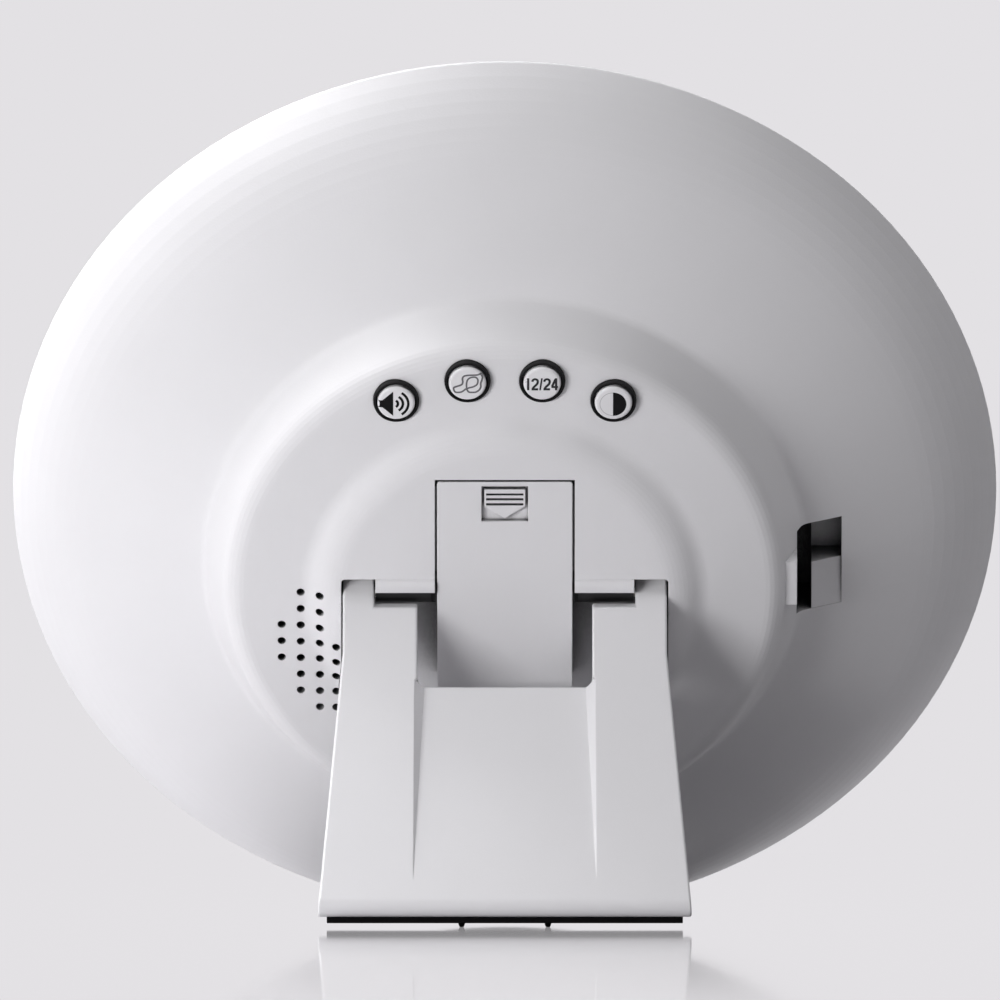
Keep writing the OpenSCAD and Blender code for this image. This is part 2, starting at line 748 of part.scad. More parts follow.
// Centre pin, with a thinner root set into the bottom of the socket
module dc_socket_pin() {
    color("silver") in_lamp() translate([socket_face_x - socket_bore, 0, socket_axis_h])
        rotate([0, 90, 0]) {
            translate([0, 0, -pin_root]) cylinder(r = 0.8, h = pin_root + 0.5);
            cylinder(r = 1, h = socket_bore - 1.4);
        }
}

// A wire laid as straight runs in the plane that is square to up, and mitred where they meet
module wire(points, up, r = 0.55) {
    sides = 10;
    last = len(points) - 1;
    swept([for (i = [0:last])
        let (k = max(i, 1), j = min(i, last - 1),
            n0 = cross(unit(points[k] - points[k - 1]), up),
            n1 = cross(unit(points[j + 1] - points[j]), up),
            mitre = (n0 + n1) / (1 + n0 * n1))
        [for (m = [0:sides - 1]) let (b = 360 * m / sides)
            points[i] + r * (cos(b) * mitre + sin(b) * up)]]);
}

module wire_loom() {
    magnet_low = speaker_top - magnet_depth;
    board_back = switch_low - button_board_t;
    color("firebrick") in_lamp() for (k = [0, 1]) {
        wire([[-36, -15 + 3 * k, magnet_low], [-36, -15 + 3 * k, 19.5],
            [-14, -15 + 3 * k, 19.5], [-14, -15 + 3 * k, board_low]], [0, 1, 0]);
        wire([[socket_back_x, 2 - 4 * k, 29], [40, 2 - 4 * k, 29], [40, 2 - 4 * k, 20],
            [35, 2 - 4 * k, 20], [35, 2 - 4 * k, board_low]], [0, 1, 0]);
        wire([[-4 + 8 * k, 46.5, board_back], [-4 + 8 * k, 46.5, 27],
            [-4 + 8 * k, 33, 19], [-4 + 8 * k, 24, 19], [-4 + 8 * k, 24, board_low]], [1, 0, 0]);
    }
}

// The pair of tips on a foot at depth y
module foot_tips(y) {
    for (s = [-1, 1]) translate([s * tip_x, y, 0])
        cylinder(r1 = tip_r, r2 = tip_root_r, h = strip_h + 0.1);
}

// Two rubber feet under the rim, cut to the shell that they are glued to
module front_foot() {
    color("dimgray") {
        foot_tips(front_foot_y);
        difference() {
            for (s = [-1, 1]) translate([s * tip_x, front_foot_y, 0]) disc_between(foot_r, strip_h, 5);
            in_lamp() outer_body(512);
        }
    }
}

// A pan-head screw whose shank runs towards +z from its seat at the origin
module screw(head_r, head_h, shank_r, len) {
    difference() {
        translate([0, 0, -head_h]) cylinder(r = head_r, h = head_h, $fn = 32);
        for (a = [0, 90]) rotate(a)
            translate([-head_r * 0.6, -0.25, -head_h - 0.1]) cube([head_r * 1.2, 0.5, 0.7]);
    }
    cylinder(r = shank_r, h = len, $fn = 32);
}

module chassis_screws() {
    color("silver") in_lamp() for (i = [0:5]) rotate(i * 60 + 30)
        translate([chassis_screw_ring, 0, chassis_low]) screw(2.4, 1.6, 1.2, 5);
}

module board_screws() {
    color("silver") in_lamp() for (p = board_posts)
        translate([p.x, p.y, board_low]) screw(2, 1.4, 1, 7);
}

module button_board_screws() {
    color("silver") in_lamp() for (s = [-1, 1]) rotate(s * button_board_end)
        translate([0, button_ring_r, switch_low - button_board_t]) screw(1.8, 1.2, 0.8, 4.6);
}

module display_screws() {
    color("silver") in_lamp() for (p = display_posts)
        translate([p.x, p.y, display_back - board_t]) screw(1.9, 1.2, 0.9, 5.5);
}

// Sliding cover with its thumb recess, raised arrow and side rails
module battery_door() {
    sink = 1.1;
    thumb_half = 4.7;
    thumb_low = 18.2;
    thumb_high = 26.4;
    arrow_half = 4.15;
    arrow_low = 18.8;
    arrow_shoulder = 21.6;
    arrow_high = 25.6;
    groove_pitch = 1.17;
    color("white") in_lamp() {
        difference() {
            union() {
                translate([0, (door_top - door_bottom) / 2, 0])
                    round_plate([door_w, door_top + door_bottom], 0.6, door_under, cap_h);
                both_sides() box_between([door_half - 1, rail_from, door_under],
                    [door_half + rail_w, rail_to, door_under + rail_t]);
            }
            box_between([-thumb_half, thumb_low, cap_h - sink], [thumb_half, thumb_high, big]);
        }
        translate([0, 0, cap_h - sink]) linear_extrude(sink - 0.1) difference() {
            polygon([[-arrow_half, arrow_high], [-arrow_half, arrow_shoulder], [0, arrow_low],
                [arrow_half, arrow_shoulder], [arrow_half, arrow_high]]);
            for (k = [0:2]) translate([-arrow_half + 0.4, arrow_high - 1.45 - k * groove_pitch])
                square([2 * arrow_half - 0.8, 0.5]);
        }
    }
}

// Side profile of the stand: outer face, rounded foot, sole and inner face
module stand_side() {
    thick = 6.5;
    foot_n = -7;
    foot = arc([-foot_c_s, foot_c_n], foot_round_r, 90, 180 + leg_tilt, 8);
    polygon(concat([[0, barrel_r]], foot, [[-sole_s(foot_n), foot_n], [-62, barrel_r - thick],
        [-11, barrel_r - thick], [-4.5, -barrel_r], [0, -barrel_r]]));
}

// Rounded end of an ear, with the heel that stops the stand when it is open
module ear_end() {
    circle(r = barrel_r);
    polygon([[0, barrel_r], [3.85, 2.2], [3.85, 0.72], [2.6, -1.45], [0, -barrel_r]]);
}

// A block tapering from the window's edge to a line at the foot, for the sunk panel
module panel_wedge(top_n, depth, half, spread) {
    start = window_end - 0.5;
    end = sole_s(0) - 7;
    hull() {
        translate([0, -start, 0]) rotate([90, 0, 0]) linear_extrude(0.01)
            polygon([[-half, top_n - depth], [half, top_n - depth], [half + spread, top_n + 0.2],
                [-half - spread, top_n + 0.2]]);
        translate([0, -end, 0]) rotate([90, 0, 0]) linear_extrude(0.01)
            polygon([[-half - spread, top_n], [half + spread, top_n],
                [half + spread, top_n + 0.2], [-half - spread, top_n + 0.2]]);
    }
}

// Hollows that leave the stand as a ribbed moulding, open towards the lamp
module stand_hollows() {
    skin = 1.8;
    rib = 1.4;
    low = 30;
    end = sole_s(0) - 9;
    first = 12;
    pitch = (end - first) / 4;
    half = window_half - 1.2;
    both_sides() for (k = [0:3]) {
        s0 = first + k * pitch;
        s1 = s0 + pitch - rib;
        translate([0, 0, -low]) linear_extrude(low + barrel_r - skin)
            polygon([[window_half + 2.6, -s0], [half_at(s0) - lip_overhang - 1.6, -s0],
                [half_at(s1) - lip_overhang - 1.6, -s1], [window_half + 2.6, -s1]]);
    }
    hull() {
        translate([0, -window_end - 1.8, -low]) rotate([90, 0, 0]) linear_extrude(0.01)
            translate([-half, 0]) square([2 * half, low + barrel_r - panel_sink - skin]);
        translate([0, -end, -low]) rotate([90, 0, 0]) linear_extrude(0.01)
            translate([-half, 0]) square([2 * half, low + barrel_r - skin]);
    }
}

module stand_frame() {
    end = sole_s(barrel_r) + 5;
    foot_from = 62;
    scoop_from = 5.05;
    color("white") in_stand() difference() {
        union() {
            intersection() {
                across(-big, big) stand_side();
                union() {
                    translate([0, 0, barrel_r - lip_t]) linear_extrude(lip_t)
                        polygon(stand_plan(0, 0, end, 0.01));
                    translate([0, 0, -big]) linear_extrude(big + barrel_r)
                        polygon(stand_plan(lip_overhang, 3, end, 0.01));
                    translate([0, 0, -big]) linear_extrude(big + barrel_r) intersection() {
                        polygon(stand_plan(0, 0, end, 0.01));
                        union() {
                            translate([-big / 2, -big - foot_from]) square(big);
                            translate([-big / 2, -ear_len]) square([big, ear_len]);
                        }
                    }
                }
            }
            both_sides() across(ear_in, leg_half) ear_end();
        }
        translate([0, 0, -big / 2]) linear_extrude(big) {
            polygon(concat([[-window_half, 10], [window_half, 10]],
                corner([window_half, -window_end], [window_half, 0], [0, -window_end], 1.3),
                corner([-window_half, -window_end], [0, -window_end], [-window_half, 0], 1.3)));
            translate([-ear_in, -3.1]) square([2 * ear_in, 12]);
        }
        across(-ear_in, ear_in) {
            circle(r = barrel_r + 0.5);
            polygon([[-scoop_from, barrel_r], [-4.2, barrel_r - 0.95], [-3.1, barrel_r - 1.65],
                [-3.1, big], [-scoop_from, big]]);
        }
        panel_wedge(barrel_r, panel_sink, 16.3, 2.2);
        stand_hollows();
        both_sides() translate([ear_in - 1, 0, 0]) rotate([0, 90, 0])
            cylinder(r = pin_r + 0.02, h = 6.3);
        strip_groove();
    }
}

// Groove in the sole that the rubber strip is pressed into, placed from the table's frame
module strip_groove() {
    rotate([stand_open, 0, 0]) translate([0, 0, -hinge_h]) rotate([-90 - lean, 0, 0]) rotate(180)
        translate([0, -lamp_y, -lamp_z])
            box_between([-strip_half.x - strip_fit, strip_y - strip_half.y - strip_fit, strip_h],
                [strip_half.x + strip_fit, strip_y + strip_half.y + strip_fit, sole_h + 1.25]);
}

// Dark bearing bushes that lie in the lugs' cradles, under the lips and clear of the door's rails
module hinge_bushes() {
    color("black") in_lamp() difference() {
        both_sides() across(door_half + door_gap, lug_out - 0.1) translate([0, hinge_h])
            circle(r = bush_r);
        both_sides() translate([lug_out - 6.4, 0, hinge_h]) rotate([0, 90, 0])
            cylinder(r = pin_r + run_fit, h = 7);
        rail_run();
    }
}

module hinge_pins() {
    color("silver") in_stand() both_sides() translate([lug_out - 6.2, 0, 0]) rotate([0, 90, 0])
        cylinder(r = pin_r, h = 11.4);
}

// Rubber strip along the foot, with its two tips
module foot_strip() {
    color("black") {
        box_between([-strip_half.x, strip_y - strip_half.y, strip_h],
            [strip_half.x, strip_y + strip_half.y, sole_h + 1.2]);
        foot_tips(strip_y);
    }
}

// Dark rings that close the gaps round the caps
module key_seals() {
    top = button_base_h + seal_proud - seal_round;
    color("black") in_lamp() for (a = button_angles) rotate(a) translate([0, button_ring_r, 0])
        rotate_extrude() polygon(concat([[seal_r, collar_low], [seal_r + seal_w, collar_low]],
            arc([seal_r + seal_w - seal_round, top], seal_round, 0, 90, 3),
            arc([seal_r + seal_round, top], seal_round, 90, 180, 3)));
}

// Cap with its retaining flange; k counts the buttons from the left as seen from behind
module button(k) {
    color("gainsboro") in_lamp() rotate(-button_angles[k]) translate([0, button_ring_r, 0])
        rotate_extrude() polygon(concat([[0, flange_low], [flange_r, flange_low],
            [flange_r, flange_top], [button_r, flange_top]],
            arc([button_r - 0.6, button_top_h - 0.6], 0.6, 0, 90, 4), [[0, button_top_h]]));
}

module plunger(k) {
    color("black") in_lamp() rotate(-button_angles[k]) translate([0, button_ring_r, 0])
        disc_between(plunger_r, plunger_low, flange_low);
}

module volume_button() { button(0); }
module volume_plunger() { plunger(0); }
module sound_button() { button(1); }
module sound_plunger() { plunger(1); }
module hour_format_button() { button(2); }
module hour_format_plunger() { plunger(2); }
module contrast_button() { button(3); }
module contrast_plunger() { plunger(3); }

rear_shell();
front_diffuser();
display_window();
inner_chassis();
led_board();
led_chips();
display_board();
display_module();
display_digits();
main_board();
board_components();
button_board();
tact_switches();
speaker_basket();
speaker_magnet();
speaker_cone();
speaker_gauze();
battery_cells();
battery_springs();
battery_contacts();
dc_socket();
dc_socket_pin();
wire_loom();
front_foot();
chassis_screws();
board_screws();
button_board_screws();
display_screws();
battery_door();
stand_frame();
hinge_pins();
hinge_bushes();
foot_strip();
key_seals();
volume_button();
volume_plunger();
sound_button();
sound_plunger();
hour_format_button();
hour_format_plunger();
contrast_button();
contrast_plunger();
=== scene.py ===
"""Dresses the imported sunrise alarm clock: finishes, rounded edges, key prints and a pale studio."""

import json
import logging
import math
from abc import ABC, abstractmethod
from collections.abc import Callable, Sequence
from dataclasses import dataclass, field
from enum import Enum

import bmesh
import bpy
from mathutils import Matrix, Vector

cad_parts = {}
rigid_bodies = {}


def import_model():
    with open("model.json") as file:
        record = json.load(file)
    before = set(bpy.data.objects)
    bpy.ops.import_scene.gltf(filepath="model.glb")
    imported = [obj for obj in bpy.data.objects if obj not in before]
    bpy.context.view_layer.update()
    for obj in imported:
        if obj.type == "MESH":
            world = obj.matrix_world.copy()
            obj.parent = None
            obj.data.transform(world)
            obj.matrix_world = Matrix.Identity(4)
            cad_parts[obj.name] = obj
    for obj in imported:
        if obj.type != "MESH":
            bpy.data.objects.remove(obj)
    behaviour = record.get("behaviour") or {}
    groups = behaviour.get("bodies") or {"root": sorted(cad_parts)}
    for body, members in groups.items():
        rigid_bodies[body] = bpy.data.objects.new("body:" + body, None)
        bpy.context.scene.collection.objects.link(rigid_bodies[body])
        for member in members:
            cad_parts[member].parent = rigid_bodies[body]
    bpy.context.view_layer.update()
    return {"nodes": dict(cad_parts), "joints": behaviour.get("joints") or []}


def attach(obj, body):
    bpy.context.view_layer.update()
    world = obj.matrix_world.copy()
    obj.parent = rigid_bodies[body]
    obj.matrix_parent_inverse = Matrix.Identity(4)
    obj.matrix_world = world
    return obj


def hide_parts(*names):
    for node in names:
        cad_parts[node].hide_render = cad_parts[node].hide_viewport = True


LOG = logging.getLogger("sunrise_clock")
MM = 0.001

Colour = tuple[float, float, float, float]
Point = tuple[float, float]
Socket = bpy.types.NodeSocket
Amount = float | Socket
Sockets = dict[str | int, object]


def display(red: float, green: float, blue: float) -> Colour:
    """Turns display steps of 0 to 255 into the linear values that shaders take.

    Args:
        red: red step.
        green: green step.
        blue: blue step.

    Returns:
        The linear colour with full opacity.
    """
    steps = [value / 255 for value in (red, green, blue)]
    linear = [v / 12.92 if v <= 0.04045 else ((v + 0.055) / 1.055) ** 2.4 for v in steps]
    return (*linear, 1.0)


BACKDROP = display(227, 225, 228)


class NodeDesk:
    """Places and joins the nodes of one shader tree."""

    def __init__(self, tree: bpy.types.NodeTree) -> None:
        """Works on the given tree."""
        self.tree = tree

    def feed(self, node: bpy.types.Node, key: str | int, value: object) -> None:
        """Gives a node's input a fixed value, or the value of another node's output.

        Args:
            node: the node.
            key: the input's name or number.
            value: a number, a colour or an output.
        """
        if isinstance(value, Socket):
            self.tree.links.new(value, node.inputs[key])
        else:
            node.inputs[key].default_value = value

    def add(self, kind: str, sockets: Sockets | None = None, **settings: object) -> bpy.types.Node:
        """Adds a node.

        Args:
            kind: the node's type name.
            sockets: a number, a colour or another node's output for each named or numbered input.
            settings: properties of the node itself.

        Returns:
            The new node.
        """
        node = self.tree.nodes.new(kind)
        for name, value in settings.items():
            setattr(node, name, value)
        for key, value in (sockets or {}).items():
            self.feed(node, key, value)
        return node

    def math(self, operation: str, a: Amount, b: Amount = 0.0, clamp: bool = False) -> Socket:
        """Joins two values by a sum.

        Args:
            operation: the sum's name in Blender.
            a: first number or output.
            b: second number or output.
            clamp: keeps the result between 0 and 1.

        Returns:
            The result's output.
        """
        return self.add("ShaderNodeMath", {0: a, 1: b}, operation=operation, use_clamp=clamp).outputs[0]

    def vector(self, operation: str, a: object, b: object) -> bpy.types.Node:
        """Joins two vectors by a sum and returns the node."""
        return self.add("ShaderNodeVectorMath", {0: a, 1: b}, operation=operation)

    def noise(self, place: Socket, scale: Amount, detail: float = 2.0, rough: float = 0.5) -> Socket:
        """Adds a noise pattern.

        Args:
            place: the output that says where each point is.
            scale: features per metre.
            detail: layers of finer noise.
            rough: strength of those layers.

        Returns:
            The pattern's value.
        """
        sockets = {"Vector": place, "Scale": scale, "Detail": detail, "Roughness": rough}
        return self.add("ShaderNodeTexNoise", sockets).outputs["Fac"]

    def spread(
        self, value: Socket, low: Amount, high: Amount, start: Amount = 0.0, end: Amount = 1.0
    ) -> Socket:
        """Maps the stretch from start to end of a value onto low to high.

        Args:
            value: the output to map.
            low: result at start.
            high: result at end.
            start: value that gives low.
            end: value that gives high.

        Returns:
            The mapped output.
        """
        sockets = {"Value": value, "From Min": start, "From Max": end, "To Min": low, "To Max": high}
        return self.add("ShaderNodeMapRange", sockets).outputs["Result"]

    def blend(self, share: object, first: object, second: object) -> Socket:
        """Mixes two colours.

        Args:
            share: how much of the second colour is taken.
            first: first colour.
            second: second colour.

        Returns:
            The mixed colour's output.
        """
        return self.add("ShaderNodeMix", {0: share, 6: first, 7: second}, data_type="RGBA").outputs[2]

    def blend_value(self, share: object, first: object, second: object) -> Socket:
        """Mixes two numbers.

        Args:
            share: how much of the second number is taken.
            first: first number.
            second: second number.

        Returns:
            The mixed number's output.
        """
        return self.add("ShaderNodeMix", {0: share, 2: first, 3: second}).outputs[0]

    def bump(self, height: Socket, depth: float, normal: Socket | None = None) -> Socket:
        """Adds a fine relief.

        Args:
            height: the relief's pattern.
            depth: how deep it goes, in metres.
            normal: the normal that it stands on, where that isn't the mesh's own.

        Returns:
            The relief's normal.
        """
        sockets = {"Height": height, "Distance": depth}
        if normal is not None:
            sockets["Normal"] = normal
        return self.add("ShaderNodeBump", sockets).outputs["Normal"]

    def swayed(self, base: float, pattern: Socket, amount: float) -> Socket:
        """Returns a base value plus a pattern's value times an amount."""
        return self.math("ADD", base, self.math("MULTIPLY", pattern, amount))

    def place(self) -> Socket:
        """Returns each point's place in the object, in metres."""
        return self.add("ShaderNodeTexCoord").outputs["Object"]

    def effect(self, group: bpy.types.NodeTree, **values: object) -> bpy.types.Node:
        """Places a shared effect.

        Args:
            group: the effect's node group.
            values: a value or an output for each input, with spaces written as underscores.

        Returns:
            The group's node.
        """
        node = self.add("ShaderNodeGroup", node_tree=group)
        self.dress(node, **values)
        return node

    def dress(self, node: bpy.types.Node, **values: object) -> None:
        """Feeds a node's named inputs.

        Args:
            node: the node.
            values: a value or an output for each input, with spaces written as underscores.
        """
        for name, value in values.items():
            self.feed(node, name.replace("_", " "), value)


@dataclass(frozen=True)
class Effect:
    """A shader effect that several finishes share, kept as one node group."""

    name: str
    inputs: tuple[tuple[str, float], ...]
    outputs: tuple[tuple[str, str], ...]
    fill: Callable[[NodeDesk, dict[str, Socket]], dict[str, Socket]]

    def group(self) -> bpy.types.NodeTree:
        """Returns the effect's node group, and builds it the first time."""
        found = bpy.data.node_groups.get(self.name)
        if found is not None:
            return found
        tree = bpy.data.node_groups.new(self.name, "ShaderNodeTree")
        for label, value in self.inputs:
            made = tree.interface.new_socket(name=label, in_out="INPUT", socket_type="NodeSocketFloat")
            made.default_value = value
        for label, kind in self.outputs:
            tree.interface.new_socket(name=label, in_out="OUTPUT", socket_type=kind)
        desk = NodeDesk(tree)
        entry = desk.add("NodeGroupInput")
        leaving = desk.add("NodeGroupOutput")
        results = self.fill(desk, {label: entry.outputs[label] for label, _ in self.inputs})
        for label, source in results.items():
            tree.links.new(source, leaving.inputs[label])
        return tree


def fill_grain(desk: NodeDesk, given: dict[str, Socket]) -> dict[str, Socket]:
    """Spark-eroded mould grain, with a slow change of tone across the moulding."""
    place = desk.place()
    fine = desk.noise(place, given["Scale"], detail=3.0, rough=0.6)
    pits = desk.add("ShaderNodeTexVoronoi", {"Vector": place, "Scale": given["Scale"]}).outputs["Distance"]
    height = desk.math("ADD", desk.math("MULTIPLY", fine, 0.7), desk.math("MULTIPLY", pits, 0.3))
    slow = desk.noise(place, given["Mottle Scale"])
    return {"Height": height, "Mottle": desk.spread(slow, low=-1.0, high=1.0, start=0.25, end=0.75)}


def fill_soft_edge(desk: NodeDesk, given: dict[str, Socket]) -> dict[str, Socket]:
    """A rounded normal along edges, and a broken mask of where they are rubbed, which plastics also use for
    a painted highlight.
    """
    rounded = desk.add("ShaderNodeBevel", {"Radius": given["Radius"]}, samples=4).outputs["Normal"]
    flat = desk.add("ShaderNodeNewGeometry").outputs["Normal"]
    lean = desk.vector("DOT_PRODUCT", rounded, flat).outputs["Value"]
    bend = desk.math("MULTIPLY", desk.math("SUBTRACT", 1.0, lean), given["Gain"])
    patches = desk.noise(desk.place(), scale=420.0, detail=3.0, rough=0.6)
    broken = desk.spread(patches, low=0.35, high=1.0, start=0.35, end=0.65)
    return {"Normal": rounded, "Rub": desk.math("MULTIPLY", bend, broken, clamp=True)}


def fill_brushing(desk: NodeDesk, given: dict[str, Socket]) -> dict[str, Socket]:
    """Fine drawn lines along one axis, for rolled and turned metal."""
    stretch = desk.add("ShaderNodeMapping", {"Vector": desk.place(), "Scale": (0.04, 1.0, 1.0)})
    lines = desk.noise(stretch.outputs["Vector"], given["Scale"], rough=0.6)
    patches = desk.noise(desk.place(), scale=160.0)
    return {"Height": lines, "Tone": desk.math("MULTIPLY", lines, patches)}


def fill_tracks(desk: NodeDesk, given: dict[str, Socket]) -> dict[str, Socket]:
    """Copper tracks under solder mask: stepped runs with pads among them."""
    place = desk.place()
    spacing = {"Mortar Size": 0.035, "Brick Width": 0.9, "Row Height": 0.32}
    runs = desk.add("ShaderNodeTexBrick", {"Vector": place, "Scale": given["Scale"]} | spacing)
    pads = desk.add("ShaderNodeTexVoronoi", {"Vector": place, "Scale": given["Scale"]}).outputs["Distance"]
    return {"Track": runs.outputs["Fac"], "Pad": desk.math("LESS_THAN", pads, 0.12)}


def fill_painted_shade(desk: NodeDesk, given: dict[str, Socket]) -> dict[str, Socket]:
    """Painted shade from ambient occlusion: how deep each point lies in a gap, 0 in the open or near the
    table, 1 where a gap is narrow.
    """
    seen = desk.add("ShaderNodeAmbientOcclusion", {"Distance": given["Reach"]}, samples=6).outputs["AO"]
    depth = desk.spread(seen, low=0.0, high=1.0, start=given["Open"], end=given["Shut"])
    height = desk.add("ShaderNodeSeparateXYZ", {0: desk.place()}).outputs["Z"]
    clear = desk.spread(height, low=0.0, high=1.0, start=given["Table"], end=given["Clear"])
    return {"Depth": desk.math("MULTIPLY", depth, clear)}


FLOAT_OUT = "NodeSocketFloat"
GRAIN = Effect(
    "moulded_grain",
    (("Scale", 2600.0), ("Mottle Scale", 28.0)),
    (("Height", FLOAT_OUT), ("Mottle", FLOAT_OUT)),
    fill_grain,
)
SOFT_EDGE = Effect(
    "soft_edge",
    (("Radius", 0.0003), ("Gain", 4.0)),
    (("Normal", "NodeSocketVector"), ("Rub", FLOAT_OUT)),
    fill_soft_edge,
)
BRUSHING = Effect(
    "brushing", (("Scale", 5200.0),), (("Height", FLOAT_OUT), ("Tone", FLOAT_OUT)), fill_brushing
)
# Painted shade: occlusion in gaps, faded out near the table, as a mask that darkens colour.
PAINTED_SHADE = Effect(
    "crevice",
    (("Reach", 0.03), ("Open", 0.5), ("Shut", 0.27), ("Table", 0.026), ("Clear", 0.05)),
    (("Depth", FLOAT_OUT),),
    fill_painted_shade,
)
TRACKS = Effect(
    "board_tracks", (("Scale", 240.0),), (("Track", FLOAT_OUT), ("Pad", FLOAT_OUT)), fill_tracks
)


def shaded(colour: Colour, factor: float) -> Colour:
    """Returns a colour made lighter or darker by a factor."""
    return (*(min(1.0, part * factor) for part in colour[:3]), 1.0)


def mottled(desk: NodeDesk, grain: bpy.types.Node, colour: Colour, darkest: float, palest: float) -> Socket:
    """Lets a colour sway with the slow change of tone in its grain.

    Args:
        desk: the desk of the material's tree.
        grain: the grain effect's node.
        colour: the colour.
        darkest: factor of the darkest patches.
        palest: factor of the palest patches.

    Returns:
        The swaying colour's output.
    """
    tone = desk.spread(grain.outputs["Mottle"], low=0.0, high=1.0, start=-1.0)
    return desk.blend(tone, shaded(colour, darkest), shaded(colour, palest))


class Recipe(ABC):
    """A finish that can make its material."""

    @abstractmethod
    def fill(self, desk: NodeDesk, shader: bpy.types.Node) -> None:
        """Builds the finish around a Principled shader."""

    def make(self, name: str) -> bpy.types.Material:
        """Builds the material under the given name and returns it."""
        material = bpy.data.materials.new(name)
        material.use_nodes = True
        self.fill(NodeDesk(material.node_tree), material.node_tree.nodes["Principled BSDF"])
        return material


@dataclass(frozen=True)
class MouldedPlastic(Recipe):
    """An injection-moulded plastic with mould grain and rounded edges that catch the light, their colour
    made paler as rubbed wear and a painted highlight.
    """

    colour: Colour
    roughness: float = 0.42
    grain_scale: float = 2600.0
    grain_depth: float = 0.00002
    mottle: float = 0.015
    edge_radius: float = 0.0003
    rub: float = 0.06
    rubbed_highlight_tone: float = 1.6
    rubbed_polish: float = 0.06
    rough_sway: float = 0.03
    specular: float = 0.5
    painted_shade: float = 0.0
    painted_shade_tone: float = 0.02

    def fill(self, desk: NodeDesk, shader: bpy.types.Node) -> None:
        """Builds the finish around the shader."""
        desk.dress(shader, Specular_IOR_Level=self.specular)
        grain = desk.effect(GRAIN.group(), Scale=self.grain_scale)
        edge = desk.effect(SOFT_EDGE.group(), Radius=self.edge_radius)
        rub = desk.math("MULTIPLY", edge.outputs["Rub"], self.rub)
        body = mottled(desk, grain, self.colour, 1 - self.mottle, 1 + self.mottle)
        # Paler edges: partly rubbed wear, partly a painted highlight along every rounded edge.
        lit = desk.blend(rub, body, shaded(self.colour, self.rubbed_highlight_tone))
        # Painted shade: the colour turns towards a near-black copy of itself wherever occlusion finds a
        # gap.
        if self.painted_shade > 0:
            gap = desk.effect(PAINTED_SHADE.group()).outputs["Depth"]
            share = desk.math("MULTIPLY", gap, self.painted_shade)
            lit = desk.blend(share, lit, shaded(self.colour, self.painted_shade_tone))
        swayed = desk.swayed(self.roughness, grain.outputs["Mottle"], self.rough_sway)
        polish = desk.math("MULTIPLY", edge.outputs["Rub"], self.rubbed_polish)
        rough = desk.math("SUBTRACT", swayed, polish, clamp=True)
        normal = desk.bump(grain.outputs["Height"], self.grain_depth, edge.outputs["Normal"])
        desk.dress(shader, Base_Color=lit, Roughness=rough, Normal=normal)


@dataclass(frozen=True)
class Rubber(Recipe):
    """A soft black rubber with a dusty bloom and a dull skin."""

    colour: Colour = display(9, 9, 10)
    bloom: Colour = display(38, 38, 38)
    roughness: float = 0.82
    rough_sway: float = 0.1
    dustiness: float = 0.12
    specular: float = 0.2
    grain_depth: float = 0.00005

    def fill(self, desk: NodeDesk, shader: bpy.types.Node) -> None:
        """Builds the finish around the shader."""
        desk.dress(shader, Specular_IOR_Level=self.specular)
        grain = desk.effect(GRAIN.group(), Scale=1800.0)
        edge = desk.effect(SOFT_EDGE.group(), Radius=0.0003)
        dust = desk.spread(grain.outputs["Mottle"], low=0.0, high=self.dustiness, start=0.1)
        rubbed = desk.math("MULTIPLY", edge.outputs["Rub"], self.dustiness)
        body = desk.blend(desk.math("ADD", dust, rubbed, clamp=True), self.colour, self.bloom)
        rough = desk.swayed(self.roughness, grain.outputs["Height"], self.rough_sway)
        normal = desk.bump(grain.outputs["Height"], self.grain_depth, edge.outputs["Normal"])
        desk.dress(shader, Base_Color=body, Roughness=rough, Normal=normal)


@dataclass(frozen=True)
class MilkDiffuser(Recipe):
    """A milky translucent cover that softens the light behind it."""

    colour: Colour = display(178, 175, 168)
    warm: Colour = display(255, 214, 150)
    glow: float = 0.12
    milkiness: float = 0.35
    scatter: tuple[float, float, float] = (0.004, 0.0035, 0.003)
    roughness: float = 0.36
    rough_sway: float = 0.08
    grain_depth: float = 0.00001

    def fill(self, desk: NodeDesk, shader: bpy.types.Node) -> None:
        """Builds the finish around the shader."""
        desk.dress(shader, Subsurface_Weight=self.milkiness, Subsurface_Radius=self.scatter)
        desk.dress(shader, Subsurface_Scale=1.0, Emission_Strength=self.glow)
        grain = desk.effect(GRAIN.group(), Scale=3400.0)
        edge = desk.effect(SOFT_EDGE.group(), Radius=0.0004)
        body = mottled(desk, grain, self.colour, darkest=0.985, palest=1.015)
        glow = mottled(desk, grain, self.warm, darkest=0.92, palest=1.0)
        rough = desk.swayed(self.roughness, grain.outputs["Height"], self.rough_sway)
        normal = desk.bump(grain.outputs["Height"], self.grain_depth, edge.outputs["Normal"])
        desk.dress(shader, Base_Color=body, Roughness=rough, Normal=normal, Emission_Color=glow)


@dataclass(frozen=True)
class SmokedWindow(Recipe):
    """Grey-tinted clear acrylic with a polished face."""

    tint: Colour = display(96, 94, 96)
    clearness: float = 0.92
    ior: float = 1.49
    roughness: float = 0.03
    rough_sway: float = 0.03

    def fill(self, desk: NodeDesk, shader: bpy.types.Node) -> None:
        """Builds the finish around the shader."""
        desk.dress(shader, Transmission_Weight=self.clearness, IOR=self.ior)
        grain = desk.effect(GRAIN.group(), Scale=900.0)
        edge = desk.effect(SOFT_EDGE.group(), Radius=0.0002)
        body = mottled(desk, grain, self.tint, darkest=0.95, palest=1.0)
        rough = desk.swayed(self.roughness, grain.outputs["Height"], self.rough_sway)
        desk.dress(shader, Base_Color=body, Roughness=rough, Normal=edge.outputs["Normal"])


